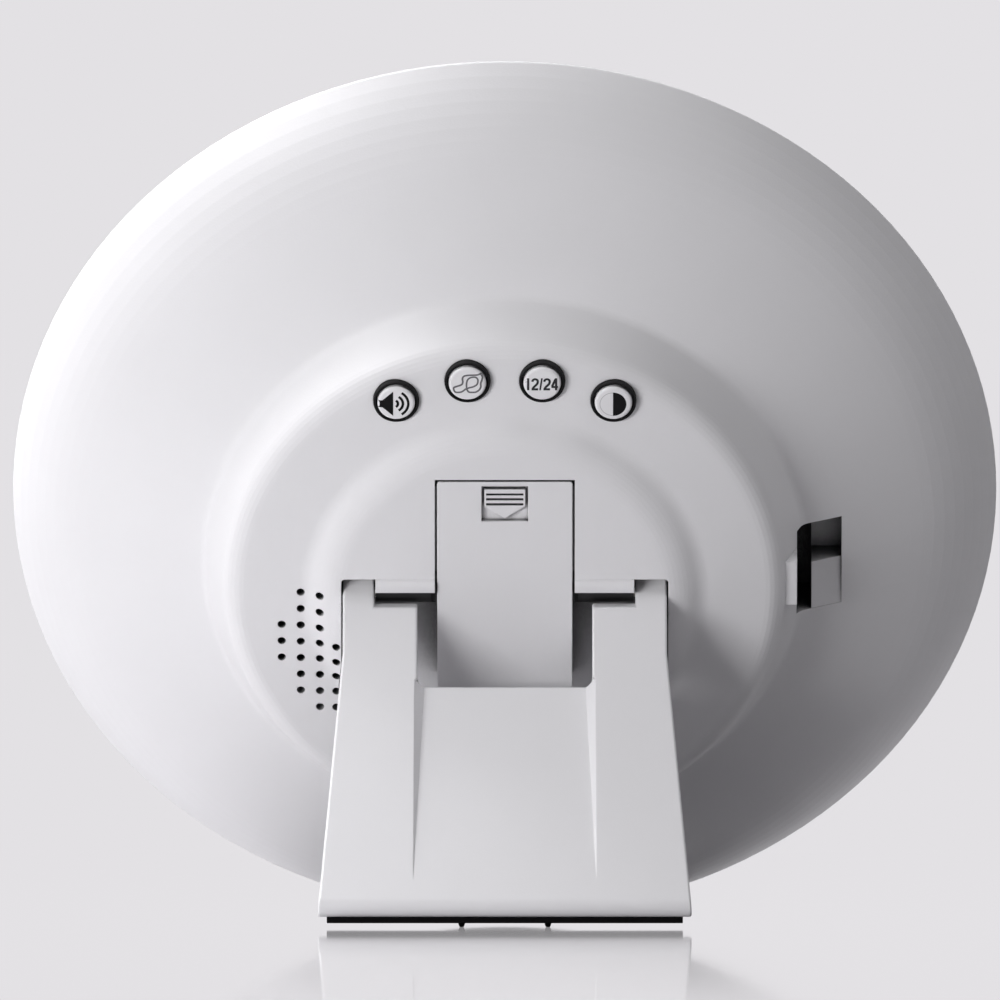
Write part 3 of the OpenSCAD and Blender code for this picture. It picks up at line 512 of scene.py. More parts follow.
@dataclass(frozen=True)
class LitSegments(Recipe):
    """Amber display bars, a little brighter in the middle of each patch."""

    colour: Colour = display(255, 150, 40)
    strength: float = 14.0
    uneven: float = 0.75

    def fill(self, desk: NodeDesk, shader: bpy.types.Node) -> None:
        """Builds the finish around the shader."""
        desk.dress(shader, Emission_Strength=self.strength)
        grain = desk.effect(GRAIN.group(), Scale=1200.0)
        glow = desk.blend(grain.outputs["Height"], self.colour, shaded(self.colour, self.uneven))
        desk.dress(shader, Base_Color=glow, Emission_Color=glow)


@dataclass(frozen=True)
class Metal(Recipe):
    """Plated or drawn metal with fine lines and a patchy tone."""

    colour: Colour = display(188, 188, 190)
    roughness: float = 0.3
    rough_sway: float = 0.18
    patch_tone: float = 0.7
    line_depth: float = 0.000005

    def fill(self, desk: NodeDesk, shader: bpy.types.Node) -> None:
        """Builds the finish around the shader."""
        desk.dress(shader, Metallic=1.0)
        brushing = desk.effect(BRUSHING.group())
        edge = desk.effect(SOFT_EDGE.group(), Radius=0.0001)
        body = desk.blend(brushing.outputs["Tone"], self.colour, shaded(self.colour, self.patch_tone))
        rough = desk.swayed(self.roughness, brushing.outputs["Height"], self.rough_sway)
        normal = desk.bump(brushing.outputs["Height"], self.line_depth, edge.outputs["Normal"])
        desk.dress(shader, Base_Color=body, Roughness=rough, Normal=normal)


@dataclass(frozen=True)
class CircuitBoard(Recipe):
    """Solder mask over copper tracks, with tinned pads."""

    mask: Colour
    track: Colour
    pad: Colour = display(200, 196, 180)
    mask_roughness: float = 0.34
    pad_roughness: float = 0.22
    track_depth: float = 0.00003

    def fill(self, desk: NodeDesk, shader: bpy.types.Node) -> None:
        """Builds the finish around the shader."""
        tracks = desk.effect(TRACKS.group())
        body = desk.blend(tracks.outputs["Track"], self.track, self.mask)
        colour = desk.blend(tracks.outputs["Pad"], body, self.pad)
        rough = desk.spread(tracks.outputs["Pad"], self.mask_roughness, self.pad_roughness)
        normal = desk.bump(tracks.outputs["Track"], self.track_depth)
        desk.dress(shader, Base_Color=colour, Roughness=rough, Normal=normal)


@dataclass(frozen=True)
class SpeakerGauze(Recipe):
    """Fine black cloth stretched behind the grille."""

    thread: Colour = display(30, 30, 32)
    gap: Colour = display(6, 6, 7)
    pitch: float = 3200.0
    fuzz: float = 0.3
    thread_depth: float = 0.00006

    def fill(self, desk: NodeDesk, shader: bpy.types.Node) -> None:
        """Builds the finish around the shader."""
        desk.dress(shader, Sheen_Weight=self.fuzz)
        across = {"Vector": desk.place(), "Scale": self.pitch}
        waves = [desk.add("ShaderNodeTexWave", across, bands_direction=axis) for axis in ("X", "Z")]
        weave = desk.math("MAXIMUM", waves[0].outputs["Fac"], waves[1].outputs["Fac"])
        rough = desk.spread(weave, low=0.95, high=0.75)
        normal = desk.bump(weave, self.thread_depth)
        body = desk.blend(weave, self.gap, self.thread)
        desk.dress(shader, Base_Color=body, Roughness=rough, Normal=normal)


@dataclass(frozen=True)
class CellWrap(Recipe):
    """The printed sleeve of a plain battery cell, in two bands."""

    body: Colour = display(52, 56, 64)
    band: Colour = display(198, 120, 58)
    band_from: float = 0.062

    def fill(self, desk: NodeDesk, shader: bpy.types.Node) -> None:
        """Builds the finish around the shader."""
        height = desk.add("ShaderNodeSeparateXYZ", {0: desk.place()}).outputs["Z"]
        banded = desk.math("GREATER_THAN", height, self.band_from)
        grain = desk.effect(GRAIN.group(), Scale=1500.0)
        rough = desk.spread(grain.outputs["Height"], low=0.22, high=0.34)
        desk.dress(shader, Base_Color=desk.blend(banded, self.body, self.band), Roughness=rough)


@dataclass(frozen=True)
class PrintedInk(Recipe):
    """Pad-printed ink: a thin flat film with a slightly uneven edge tone."""

    colour: Colour
    roughness: float = 0.5
    rough_sway: float = 0.1
    thin_tone: float = 1.25
    specular: float = 0.25
    film_depth: float = 0.000006

    def fill(self, desk: NodeDesk, shader: bpy.types.Node) -> None:
        """Builds the finish around the shader."""
        desk.dress(shader, Specular_IOR_Level=self.specular)
        grain = desk.effect(GRAIN.group(), Scale=6000.0)
        body = desk.blend(grain.outputs["Height"], self.colour, shaded(self.colour, self.thin_tone))
        rough = desk.swayed(self.roughness, grain.outputs["Height"], self.rough_sway)
        normal = desk.bump(grain.outputs["Height"], self.film_depth)
        desk.dress(shader, Base_Color=body, Roughness=rough, Normal=normal)


class Finish(Enum):
    """The finishes, each with the record's material slot that it belongs to."""

    # The shell's colour carries painted shade in its gaps and recesses; the stand's colour doesn't.
    SHELL = ("shell_white", MouldedPlastic(display(232, 231, 234), specular=0.25, painted_shade=1.0))
    STAND = ("shell_white", MouldedPlastic(display(232, 231, 234), specular=0.25))
    KEY = ("button_white", MouldedPlastic(display(236, 235, 238), roughness=0.3, grain_depth=0.00001))
    CHASSIS = ("chassis_white", MouldedPlastic(display(228, 228, 226), roughness=0.5))
    DIFFUSER = ("diffuser_milk", MilkDiffuser())
    WINDOW = ("window_smoke", SmokedWindow())
    DIGIT = ("digit_amber", LitSegments())
    DISPLAY = ("display_dark", MouldedPlastic(display(22, 22, 24), roughness=0.45))
    GREEN_BOARD = ("board_green", CircuitBoard(display(24, 82, 44), display(58, 128, 66)))
    WHITE_BOARD = ("board_white", CircuitBoard(display(236, 236, 232), display(214, 214, 208)))
    LED = ("led_yellow", MouldedPlastic(display(236, 206, 92), roughness=0.3, grain_depth=0.00001))
    COMPONENT = ("component_black", MouldedPlastic(display(34, 34, 36), roughness=0.55))
    SWITCH = ("switch_metal", Metal())
    PLUNGER = ("plunger_black", MouldedPlastic(display(20, 20, 21), roughness=0.5))
    BASKET = ("basket_steel", Metal(display(150, 150, 154), 0.36))
    MAGNET = ("magnet_grey", Metal(display(96, 96, 100), 0.5))
    CONE = ("cone_black", Rubber(display(24, 24, 25), display(48, 47, 46), 0.9))
    GAUZE = ("gauze_black", SpeakerGauze())
    CELL = ("cell_wrap", CellWrap())
    SPRING = ("spring_steel", Metal(display(196, 196, 192), 0.24))
    SOCKET = ("socket_black", MouldedPlastic(display(18, 18, 19), roughness=0.4))
    PIN = ("pin_steel", Metal(display(204, 203, 200), 0.2))
    SCREW = ("screw_zinc", Metal(display(180, 182, 186), 0.34))
    WIRE = ("wire_red", MouldedPlastic(display(170, 34, 30), roughness=0.45))
    FOOT = ("foot_rubber", Rubber())
    SEAL = ("seal_rubber", Rubber(display(22, 22, 23), display(52, 52, 53), 0.7))

    def __init__(self, slot: str, recipe: Recipe) -> None:
        """Keeps the slot's name and its recipe."""
        self.slot = slot
        self.recipe = recipe

    def material(self) -> bpy.types.Material:
        """Returns the finish's material, and builds it the first time."""
        name = "finish_" + self.name.lower()
        return bpy.data.materials.get(name) or self.recipe.make(name)


class Ink(Enum):
    """The inks printed on the keys."""

    BLACK = PrintedInk(display(3, 3, 4))
    DARK_GREY = PrintedInk(display(46, 45, 48))
    GREY = PrintedInk(display(104, 103, 106))
    PALE = PrintedInk(display(188, 187, 190))

    def material(self) -> bpy.types.Material:
        """Returns the ink's material, and builds it the first time."""
        name = "ink_" + self.name.lower()
        return bpy.data.materials.get(name) or self.value.make(name)


@dataclass(frozen=True)
class LampFrame:
    """The disc's own frame: right and up as seen from behind, and straight back."""

    centre: Vector
    right: Vector
    up: Vector
    back: Vector

    def plane(self, origin: Vector) -> Matrix:
        """Returns the place of a piece whose z axis points straight back from the origin.

        Args:
            origin: where the piece's own origin goes.

        Returns:
            The piece's matrix.
        """
        turn = Matrix((self.right, self.up, self.back)).transposed().to_4x4()
        return Matrix.Translation(origin) @ turn


def find_joint(joints: Sequence[dict], name: str) -> dict:
    """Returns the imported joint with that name."""
    return next(joint for joint in joints if joint["name"] == name)


def lamp_frame(joints: Sequence[dict], hinge_height: float = 40.9 * MM) -> LampFrame:
    """Works out the disc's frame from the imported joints.

    Args:
        joints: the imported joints.
        hinge_height: distance of the hinge line from the disc's rim plane.

    Returns:
        The disc's frame.
    """
    back = -Vector(find_joint(joints, "volume_press")["axis"]).normalized()
    right = Vector((-1.0, 0.0, 0.0))
    hinge = Vector(find_joint(joints, "stand_hinge")["pos_m"])
    return LampFrame(hinge - back * hinge_height, right, back.cross(right), back)


@dataclass(frozen=True)
class EdgeRounding:
    """How a moulding's sharp edges are rounded."""

    width: float
    segments: int = 3
    sharper_than: float = math.radians(30)
    narrowest_corner: float = math.radians(25)
    weld: float = 0.02 * MM
    flat_within: float = math.radians(0.4)

    def takes(self, edge: bmesh.types.BMEdge) -> bool:
        """Says whether an edge is rounded: it stands out, is sharp and runs into no thin wedge."""
        if len(edge.link_faces) != 2 or not edge.is_convex:
            return False
        ends = [corner for loop in edge.link_loops for corner in (loop, loop.link_loop_next)]
        narrowest = min(corner.calc_angle() for corner in ends)
        return edge.calc_face_angle() > self.sharper_than and narrowest > self.narrowest_corner

    def copy_of(self, node: bpy.types.Object, name: str) -> bpy.types.Object:
        """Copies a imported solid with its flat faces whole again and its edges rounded.

        Args:
            node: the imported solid.
            name: the copy's name.

        Returns:
            The rounded copy.
        """
        shape = bmesh.new()
        shape.from_mesh(node.data)
        bmesh.ops.remove_doubles(shape, verts=shape.verts, dist=self.weld)
        bmesh.ops.dissolve_limit(shape, angle_limit=self.flat_within, verts=shape.verts, edges=shape.edges)
        weight = shape.edges.layers.float.new("bevel_weight_edge")
        for face in shape.faces:
            face.smooth = True
        for edge in shape.edges:
            edge[weight] = float(self.takes(edge))
            edge.smooth = edge.calc_face_angle(0.0) < self.sharper_than
        mesh = bpy.data.meshes.new(name)
        shape.to_mesh(mesh)
        shape.free()
        piece = bpy.data.objects.new(name, mesh)
        bpy.context.scene.collection.objects.link(piece)
        bevel = piece.modifiers.new("rounded_edges", "BEVEL")
        bevel.width = self.width
        bevel.segments = self.segments
        bevel.limit_method = "WEIGHT"
        bevel.use_clamp_overlap = False
        bevel.harden_normals = True
        bevel.miter_outer = "MITER_ARC"
        shading = piece.modifiers.new("even_shading", "WEIGHTED_NORMAL")
        shading.keep_sharp = True
        return piece


@dataclass(frozen=True)
class RoundedPart:
    """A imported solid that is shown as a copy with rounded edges."""

    node: str
    body: str
    finish: Finish
    rounding: EdgeRounding

    def build(self, nodes: dict[str, bpy.types.Object]) -> bpy.types.Object:
        """Builds the copy, dresses it and lets it stand for its node.

        Args:
            nodes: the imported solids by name.

        Returns:
            The shown copy.
        """
        piece = self.rounding.copy_of(nodes[self.node], self.node + "_moulding")
        piece.data.materials.append(self.finish.material())
        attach(piece, self.body)
        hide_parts(self.node)
        LOG.info("rounded %s on body %s", piece.name, self.body)
        return piece


def dress_node(node: bpy.types.Object, finish: Finish) -> None:
    """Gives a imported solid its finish.

    Args:
        node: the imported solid.
        finish: what it is made of.
    """
    node.data.materials.clear()
    node.data.materials.append(finish.material())
    LOG.info("dressed %s in %s", node.name, finish.slot)


@dataclass
class Casing:
    """The rear shell with the lit face, its window and the front feet."""

    foot_edge: float = 0.15 * MM

    def build(self, nodes: dict[str, bpy.types.Object]) -> None:
        """Dresses the casing's solids and rounds its feet, which the table doesn't mirror."""
        for name, finish in (
            ("rear_shell", Finish.SHELL),
            ("front_diffuser", Finish.DIFFUSER),
            ("display_window", Finish.WINDOW),
        ):
            dress_node(nodes[name], finish)
        feet = RoundedPart("front_foot", "lamp", Finish.FOOT, EdgeRounding(self.foot_edge, 2)).build(nodes)
        feet.visible_glossy = False


@dataclass
class Stand:
    """The folding stand with its rubber strip, hinge pins and the bushes that they turn in."""

    edge: float = 0.45 * MM
    strip_edge: float = 0.18 * MM

    def build(self, nodes: dict[str, bpy.types.Object]) -> None:
        """Rounds the stand's moulding and strip, and dresses its pins and their bushes."""
        RoundedPart("stand_frame", "stand", Finish.STAND, EdgeRounding(self.edge)).build(nodes)
        RoundedPart("foot_strip", "stand", Finish.FOOT, EdgeRounding(self.strip_edge, 2)).build(nodes)
        dress_node(nodes["hinge_pins"], Finish.PIN)
        # Painted shade in part: the bushes' black plastic also stands for the shade under the hinge lip.
        dress_node(nodes["hinge_bushes"], Finish.PLUNGER)


@dataclass
class BatteryBay:
    """The sliding door with the cells, contacts and springs behind it."""

    edge: float = 0.12 * MM

    def build(self, nodes: dict[str, bpy.types.Object]) -> None:
        """Rounds the door and dresses what lies behind it."""
        # The door takes the shell's finish, painted shade in its gaps included.
        RoundedPart("battery_door", "door", Finish.SHELL, EdgeRounding(self.edge, 2)).build(nodes)
        dress_node(nodes["battery_cells"], Finish.CELL)
        for name in ("battery_springs", "battery_contacts"):
            dress_node(nodes[name], Finish.SPRING)


def band(
    centre: Point, inner: float, outer: float, start: float, end: float, steps: int = 24
) -> list[Point]:
    """Outlines a stretch of a ring.

    Args:
        centre: the ring's centre.
        inner: inner radius.
        outer: outer radius.
        start: first angle in degrees.
        end: last angle in degrees.
        steps: straight runs along each arc.

    Returns:
        The closed outline's points.
    """
    angles = [math.radians(start + (end - start) * step / steps) for step in range(steps + 1)]
    x, y = centre
    far = [(x + outer * math.cos(a), y + outer * math.sin(a)) for a in angles]
    if inner <= 0:
        return far
    return far + [(x + inner * math.cos(a), y + inner * math.sin(a)) for a in reversed(angles)]


def curve(path: Sequence[Point], closed: bool = True, steps: int = 4) -> list[Point]:
    """Turns a run of corners into a smooth line through them.

    Args:
        path: the corners.
        closed: whether the last corner leads back to the first.
        steps: straight runs from one corner to the next.

    Returns:
        The points of the smooth line.
    """
    count = len(path)
    points = []
    for i in range(count if closed else count - 1):
        places = [(i + k) % count if closed else min(max(i + k, 0), count - 1) for k in (-1, 0, 1, 2)]
        before, start, end, after = (Vector(path[place]) for place in places)
        for t in (step / steps for step in range(steps)):
            square = (2 * before - 5 * start + 4 * end - after) * t**2
            cube = (3 * (start - end) - before + after) * t**3
            points.append(tuple((2 * start + (end - before) * t + (square + cube)) / 2))
    return points if closed else [*points, path[-1]]


def stroke(
    path: Sequence[Point], width: float, closed: bool = True, sharpest: float = 0.6
) -> list[list[Point]]:
    """Outlines a line of even width, one four-cornered piece for each run.

    Args:
        path: the corners that the line passes through.
        width: the line's width.
        closed: whether the last corner leads back to the first.
        sharpest: least share that keeps a mitre from running far out at a tight corner.

    Returns:
        The outlines of its runs, mitred where they meet.
    """
    count = len(path)
    corners = []
    for i, point in enumerate(path):
        here = Vector(point)
        before = (here - Vector(path[i - 1])).normalized() if closed or i > 0 else None
        after = (Vector(path[(i + 1) % count]) - here).normalized() if closed or i < count - 1 else None
        before, after = before or after, after or before
        side = Vector((-before.y - after.y, before.x + after.x))
        reach = side * (width / 2) / max(sharpest, 1 + before.dot(after))
        corners.append((tuple(here + reach), tuple(here - reach)))
    runs = range(count if closed else count - 1)
    return [[*corners[i], *reversed(corners[(i + 1) % count])] for i in runs]


@dataclass(frozen=True)
class CapFace:
    """A key's printed face: flat in the middle and rounded off at its rim, in millimetres."""

    flat: float = 3.2
    rounding: float = 0.6

    def drop(self, x: float, y: float) -> float:
        """Returns how far the face lies below its flat middle at a place."""
        over = min(max(0.0, math.hypot(x, y) - self.flat), self.rounding)
        return self.rounding - math.sqrt(self.rounding**2 - over**2)


@dataclass
class KeyMark:
    """A print on one key, drawn in millimetres to the right and up as seen from behind."""

    name: str
    ink: Ink
    outlines: list[list[Point]]
    face: CapFace = CapFace()
    film: float = 0.03
    sunk: float = 0.02
    layer: float = 0.0005

    def build(self, key: str, body: str, place: Matrix) -> bpy.types.Object:
        """Builds the print as a thin film that follows the key's face.

        Args:
            key: the key's name, for the print's own name.
            body: the body that the key belongs to.
            place: the matrix of the key's face.

        Returns:
            The print.
        """
        shape = bmesh.new()
        for index, outline in enumerate(self.outlines):
            rise = self.film + index * self.layer
            low = [shape.verts.new((x, y, -self.face.drop(x, y) - self.sunk)) for x, y in outline]
            high = [shape.verts.new((x, y, rise - self.face.drop(x, y))) for x, y in outline]
            shape.faces.new(high)
            shape.faces.new(list(reversed(low)))
            for i in range(len(outline)):
                j = (i + 1) % len(outline)
                shape.faces.new((low[i], low[j], high[j], high[i]))
        bmesh.ops.recalc_face_normals(shape, faces=shape.faces)
        shape.transform(place @ Matrix.Diagonal((MM, MM, MM, 1)))
        return ink_piece(shape, f"{key}_{self.name}", self.ink, body)


def ink_piece(shape: bmesh.types.BMesh, name: str, ink: Ink, body: str) -> bpy.types.Object:
    """Turns a finished film into a piece that rides on a key.

    Args:
        shape: the film, which is freed here.
        name: the piece's name.
        ink: what it is printed in.
        body: the body that it rides on.

    Returns:
        The piece.
    """
    mesh = bpy.data.meshes.new(name)
    shape.to_mesh(mesh)
    shape.free()
    piece = bpy.data.objects.new(name, mesh)
    bpy.context.scene.collection.objects.link(piece)
    mesh.materials.append(ink.material())
    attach(piece, body)
    LOG.info("printed %s on body %s", name, body)
    return piece


@dataclass
class Keys:
    """The four keys behind the disc, each with its cap, print and plunger, in their rubber rings."""

    frame: LampFrame
    names: tuple[str, ...] = ("volume", "sound", "hour_format", "contrast")
    arc_centre: Point = (-0.52, 0.0)
    arc_radii: tuple[float, ...] = (0.87, 1.88, 2.96)
    arc_stroke: float = 0.52
    arc_reach: float = 57.0
    contrast_centre: Point = (-0.1, -0.1)
    contrast_radius: float = 2.7
    note_stroke: float = 0.34
    digit_stroke: float = 0.46
    slash_share: float = 0.7
    outline_stroke: float = 0.14
    face_within: float = 0.01 * MM

    def face(self, cap: bpy.types.Object) -> Matrix:
        """Finds the place of a cap's face.

        Args:
            cap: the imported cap.

        Returns:
            A matrix at the middle of the face, with z straight back.
        """
        back = self.frame.back
        top = max(back.dot(v.co) for v in cap.data.vertices)
        face = [v.co for v in cap.data.vertices if top - back.dot(v.co) < self.face_within]
        low = Vector(min(co[i] for co in face) for i in range(3))
        high = Vector(max(co[i] for co in face) for i in range(3))
        return self.frame.plane((low + high) / 2)

    def volume_marks(self) -> list[KeyMark]:
        """Returns a loudspeaker with three sound waves."""
        tail, neck, mouth = 0.8, -2.79, (-0.61, 2.8)
        cuts = (-3.66, -3.56, -3.42, -3.2)
        horn = [[(a, -tail), (b, -tail), (b, tail), (a, tail)] for a, b in zip(cuts, cuts[1:])]
        x, y = mouth
        horn.append([(cuts[-1], -tail), (neck, -tail), (x, -y), (x, y), (neck, tail), (cuts[-1], tail)])
        half = self.arc_stroke / 2
        span = (-self.arc_reach, self.arc_reach)
        waves = [band(self.arc_centre, r - half, r + half, *span) for r in self.arc_radii]
        return [KeyMark("loudspeaker", Ink.BLACK, horn), KeyMark("waves", Ink.BLACK, waves)]

    def sound_marks(self) -> list[KeyMark]:
        """Returns two joined notes in outline."""
        outside = [
            (-2.8, -1.07), (-2.57, -1.69), (-2.16, -1.89), (-1.29, -1.81), (-0.75, -1.46), (-0.25, -1.1),
            (0.26, -1.78), (0.99, -1.87), (1.67, -1.81), (2.34, -1.34), (2.67, -0.64), (2.68, 0.21),
            (2.9, 0.99), (3.02, 1.7), (2.67, 2.36), (2.1, 2.2), (1.5, 2.13), (0.05, 2.07),
            (-0.75, 1.84), (-1.02, 1.22), (-0.95, 0.52), (-1.2, -0.1), (-2.03, -0.45), (-2.65, -0.7),
        ]  # fmt: skip
        inside = [
            (-0.11, -0.95), (-0.18, 0.13), (0.09, 1.1), (0.79, 1.58), (1.67, 1.6), (2.1, 0.99),
            (1.94, -0.02), (1.2, -0.57), (0.4, -0.8),
        ]  # fmt: skip
        return [
            KeyMark("notes", Ink.GREY, stroke(curve(outside), self.note_stroke)),
            KeyMark("notes_inside", Ink.GREY, stroke(curve(inside), self.note_stroke)),
        ]

    def hour_marks(self) -> list[KeyMark]:
        """Returns the choice of a 12-hour or a 24-hour clock."""
        hook = curve([(-0.6, 0.6), (-0.38, 1.02), (0.0, 1.17), (0.42, 0.98), (0.52, 0.5), (0.3, -0.05),
                      (-0.25, -0.65), (-0.5, -1.1)], closed=False)  # fmt: skip
        twos = [[(x + shift, y) for x, y in hook] for shift in (-1.42, 0.98)]
        bases = [[(shift - 0.72, -1.17), (shift + 0.6, -1.17)] for shift in (-1.42, 0.98)]
        one = [[(-2.84, 1.38), (-2.84, -1.38)], [(-3.5, 0.56), (-2.84, 1.24)]]
        four = [[(2.8, 1.38), (2.8, -1.38)], [(2.7, 1.2), (2.0, -0.5)], [(1.86, -0.62), (3.18, -0.62)]]
        lines = [*one, *twos, *bases, *four]
        marks = [run for line in lines for run in stroke(line, self.digit_stroke, closed=False)]
        slash = stroke([(-0.06, 1.38), (-0.44, -1.38)], self.digit_stroke * self.slash_share, closed=False)
        return [KeyMark("digits", Ink.DARK_GREY, marks + slash)]

    def contrast_marks(self) -> list[KeyMark]:
        """Returns a disc with one half filled."""
        middle, radius = self.contrast_centre, self.contrast_radius
        return [
            KeyMark("dark_half", Ink.BLACK, [band(middle, 0, radius, -90, 90)]),
            KeyMark("pale_half", Ink.PALE, [band(middle, radius - self.outline_stroke, radius, 90, 270)]),
        ]

    def build(self, nodes: dict[str, bpy.types.Object]) -> None:
        """Dresses the caps, plungers and rings, and prints the marks."""
        marks = (self.volume_marks(), self.sound_marks(), self.hour_marks(), self.contrast_marks())
        for name, prints in zip(self.names, marks):
            cap, body = name + "_button", name + "_key"
            dress_node(nodes[cap], Finish.KEY)
            dress_node(nodes[name + "_plunger"], Finish.PLUNGER)
            place = self.face(nodes[cap])
            for mark in prints:
                mark.build(name, body, place)
        # Painted shade in part: the rings' dark rubber also stands for the shade in the gap around each
        # cap.
        dress_node(nodes["key_seals"], Finish.SEAL)


@dataclass
class Works:
    """The lamp, clock, sound and power parts inside the casing."""

    finishes: dict[Finish, tuple[str, ...]] = field(
        default_factory=lambda: {
            Finish.CHASSIS: ("inner_chassis",),
            Finish.WHITE_BOARD: ("led_board",),
            Finish.LED: ("led_chips",),
            Finish.GREEN_BOARD: ("display_board", "main_board", "button_board"),
            Finish.DISPLAY: ("display_module",),
            Finish.DIGIT: ("display_digits",),
            Finish.COMPONENT: ("board_components",),
            Finish.SWITCH: ("tact_switches",),
            Finish.BASKET: ("speaker_basket",),
            Finish.MAGNET: ("speaker_magnet",),
            Finish.CONE: ("speaker_cone",),
            Finish.GAUZE: ("speaker_gauze",),
            Finish.SOCKET: ("dc_socket",),
            Finish.PIN: ("dc_socket_pin",),
            Finish.WIRE: ("wire_loom",),
            Finish.SCREW: ("chassis_screws", "board_screws", "button_board_screws", "display_screws"),
        }
    )

    def build(self, nodes: dict[str, bpy.types.Object]) -> None:
        """Dresses each inner solid."""
        for finish, names in self.finishes.items():
            for name in names:
                dress_node(nodes[name], finish)


@dataclass(frozen=True)
class Softbox:
    """A rectangular studio light aimed at the lamp.

    The bearing runs from straight behind the clock towards its left as seen from there, and the
    height above the table's plane is an angle too, both in degrees. A box can light matt colour
    only, or show only as a sheen.
    """

    name: str
    bearing: float
    height: float
    power: float
    size: tuple[float, float] = (0.35, 0.35)
    distance: float = 0.7
    lowest: float = 0.06
    colour: Colour = display(255, 255, 255)
    lights: bool = True
    shines: bool = True

    def build(self, target: Vector) -> None:
        """Places the light and turns it to the target."""
        lamp = bpy.data.lights.new(self.name, "AREA")
        lamp.shape = "RECTANGLE"
        lamp.size, lamp.size_y = self.size
        lamp.energy = self.power
        lamp.color = self.colour[:3]
        box = bpy.data.objects.new(self.name, lamp)
        box.visible_diffuse, box.visible_glossy = self.lights, self.shines
        bpy.context.scene.collection.objects.link(box)
        turn, rise = math.radians(self.bearing), math.radians(self.height)
        way = Vector((math.sin(turn) * math.cos(rise), math.cos(turn) * math.cos(rise), math.sin(rise)))
        place = target + way * self.distance
        place.z = max(place.z, self.lowest)
        box.location = place
        box.rotation_euler = (target - place).to_track_quat("-Z", "Y").to_euler()


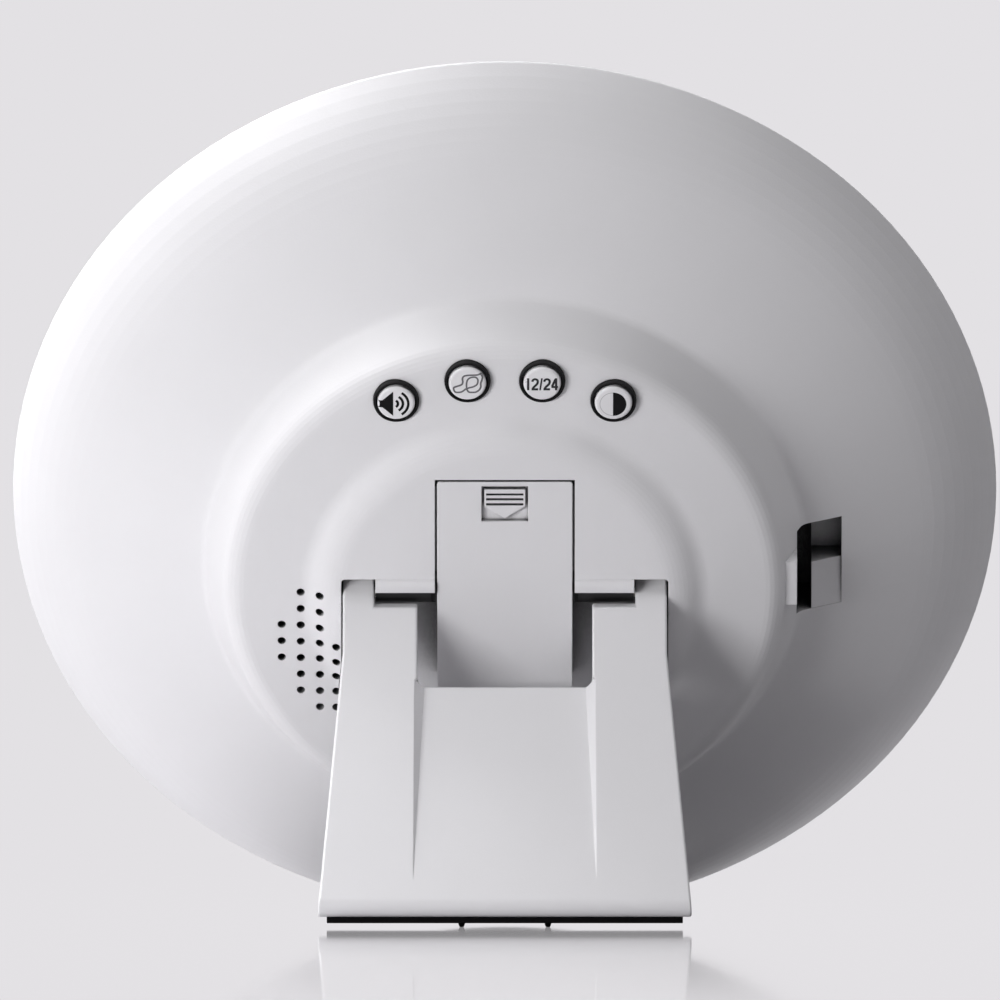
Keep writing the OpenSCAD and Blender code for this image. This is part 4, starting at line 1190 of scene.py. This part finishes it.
@dataclass
class Studio:
    """A pale polished table in an even backdrop, with soft lights and the camera."""

    floor_reach: float = 1.6
    floor_segments: int = 96
    fade_from: float = 0.5
    half_angle: float = math.radians(0.75)
    image_px: int = 1000
    mm_per_px: float = 0.2026
    table_line_px: float = 925.0
    axis_px: float = 504.8
    focus_y: float = 0.02
    sensor_mm: float = 36.0
    clip_m: tuple[float, float] = (0.1, 60.0)
    table: Colour = display(170, 169, 171)
    polish_ior: float = 1.45
    polish_roughness: float = 0.03
    shadow_share: float = 0.25
    target: tuple[float, float, float] = (0.0, 0.02, 0.09)
    boxes: tuple[Softbox, ...] = (
        Softbox("low_box", 41, -3, 2.7, size=(0.35, 0.11), shines=False),
        Softbox("low_side_box", 90, -3, 0.5, size=(0.35, 0.11), shines=False),
        Softbox("side_box", 90, 45, 0.9, shines=False),
        Softbox("rim_box", 120, 45, 4.1, shines=False),
        Softbox("high_box", 120, 70, 1.6, shines=False),
        Softbox("far_box", 150, 30, 3.7, shines=False),
        Softbox("right_box", -45, 50, 1.25, shines=False),
        Softbox("sheen_box", 60, 45, 3.4, lights=False),
        Softbox("rim_sheen_box", 120, 45, 2.4, lights=False),
    )

    def camera(self) -> None:
        """Places the far camera that sees the clock as the photograph does."""
        half_width = self.image_px * self.mm_per_px * MM / 2
        data = bpy.data.cameras.new("view_from_behind")
        data.sensor_width = self.sensor_mm
        data.lens = data.sensor_width / 2 / math.tan(self.half_angle)
        data.clip_start, data.clip_end = self.clip_m
        eye = bpy.data.objects.new("view_from_behind", data)
        bpy.context.scene.collection.objects.link(eye)
        middle = self.image_px / 2
        eye.location = (
            (self.axis_px - middle) * self.mm_per_px * MM,
            self.focus_y + half_width / math.tan(self.half_angle),
            (self.table_line_px - middle) * self.mm_per_px * MM,
        )
        eye.rotation_euler = (math.radians(90), 0.0, math.radians(180))
        bpy.context.scene.camera = eye

    def backdrop(self) -> None:
        """Makes the even backdrop, which lights the clock less than it shows."""
        world = bpy.data.worlds.new("backdrop")
        world.use_nodes = True
        bpy.context.scene.world = world
        desk = NodeDesk(world.node_tree)
        desk.tree.nodes.clear()
        seen = desk.add("ShaderNodeLightPath")
        strength = desk.math("MAXIMUM", seen.outputs["Is Camera Ray"], seen.outputs["Is Glossy Ray"])
        shown = desk.add("ShaderNodeBackground", {"Color": BACKDROP, "Strength": strength})
        output = desk.add("ShaderNodeOutputWorld")
        desk.tree.links.new(shown.outputs[0], output.inputs["Surface"])

    def floor_material(self) -> bpy.types.Material:
        """Returns the pale polished table top, which fades out far from the clock."""
        material = bpy.data.materials.new("pale_table")
        material.use_nodes = True
        desk = NodeDesk(material.node_tree)
        desk.tree.nodes.clear()
        place = desk.place()
        reach = desk.add("ShaderNodeVectorMath", {0: place}, operation="LENGTH").outputs["Value"]
        glow = desk.add("ShaderNodeEmission", {"Color": BACKDROP, "Strength": 1.0})
        white = desk.add("ShaderNodeBsdfDiffuse", {"Color": self.table})
        seen = desk.add("ShaderNodeLightPath").outputs["Is Camera Ray"]
        facing = desk.add("ShaderNodeFresnel", {"IOR": self.polish_ior}).outputs[0]
        shadow = desk.spread(facing, low=self.shadow_share, high=0.0, start=0.1, end=0.6)
        lit = desk.blend_value(seen, 1.0, shadow)
        top = desk.add("ShaderNodeMixShader", {0: lit, 1: glow.outputs[0], 2: white.outputs[0]})
        mirror = {"Color": (1.0, 1.0, 1.0, 1.0), "Roughness": self.polish_roughness}
        polish = desk.add("ShaderNodeBsdfGlossy", mirror)
        fading = desk.spread(reach, low=0.76, high=0.5, start=0.05, end=1.2)
        share = desk.math("MULTIPLY", facing, fading)
        glossy = desk.add("ShaderNodeMixShader", {0: share, 1: top.outputs[0], 2: polish.outputs[0]})
        clear = desk.add("ShaderNodeBsdfTransparent")
        edge = desk.spread(reach, low=0.0, high=1.0, start=self.fade_from, end=self.floor_reach)
        shown = desk.add("ShaderNodeMixShader", {0: edge, 1: glossy.outputs[0], 2: clear.outputs[0]})
        output = desk.add("ShaderNodeOutputMaterial")
        desk.tree.links.new(shown.outputs[0], output.inputs["Surface"])
        return material

    def floor(self) -> None:
        """Lays the round table top."""
        shape = bmesh.new()
        bmesh.ops.create_circle(shape, cap_ends=True, radius=self.floor_reach, segments=self.floor_segments)
        mesh = bpy.data.meshes.new("table_top")
        shape.to_mesh(mesh)
        shape.free()
        table = bpy.data.objects.new("table_top", mesh)
        bpy.context.scene.collection.objects.link(table)
        mesh.materials.append(self.floor_material())

    def build(self) -> None:
        """Sets up the view, the backdrop, the table and the lights."""
        bpy.context.scene.view_settings.view_transform = "Standard"
        self.camera()
        self.backdrop()
        self.floor()
        for box in self.boxes:
            box.build(Vector(self.target))
        LOG.info("studio set with %d softboxes", len(self.boxes))


def main() -> None:
    """Builds the clock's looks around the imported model."""
    logging.basicConfig(level=logging.INFO, format="%(name)s: %(message)s")
    for leftover in list(bpy.data.objects):
        bpy.data.objects.remove(leftover)
    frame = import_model()
    nodes = frame["nodes"]
    disc = lamp_frame(frame["joints"])
    Studio().build()
    for assembly in (Casing(), Stand(), BatteryBay(), Keys(disc), Works()):
        assembly.build(nodes)


if __name__ == "__main__":
    main()
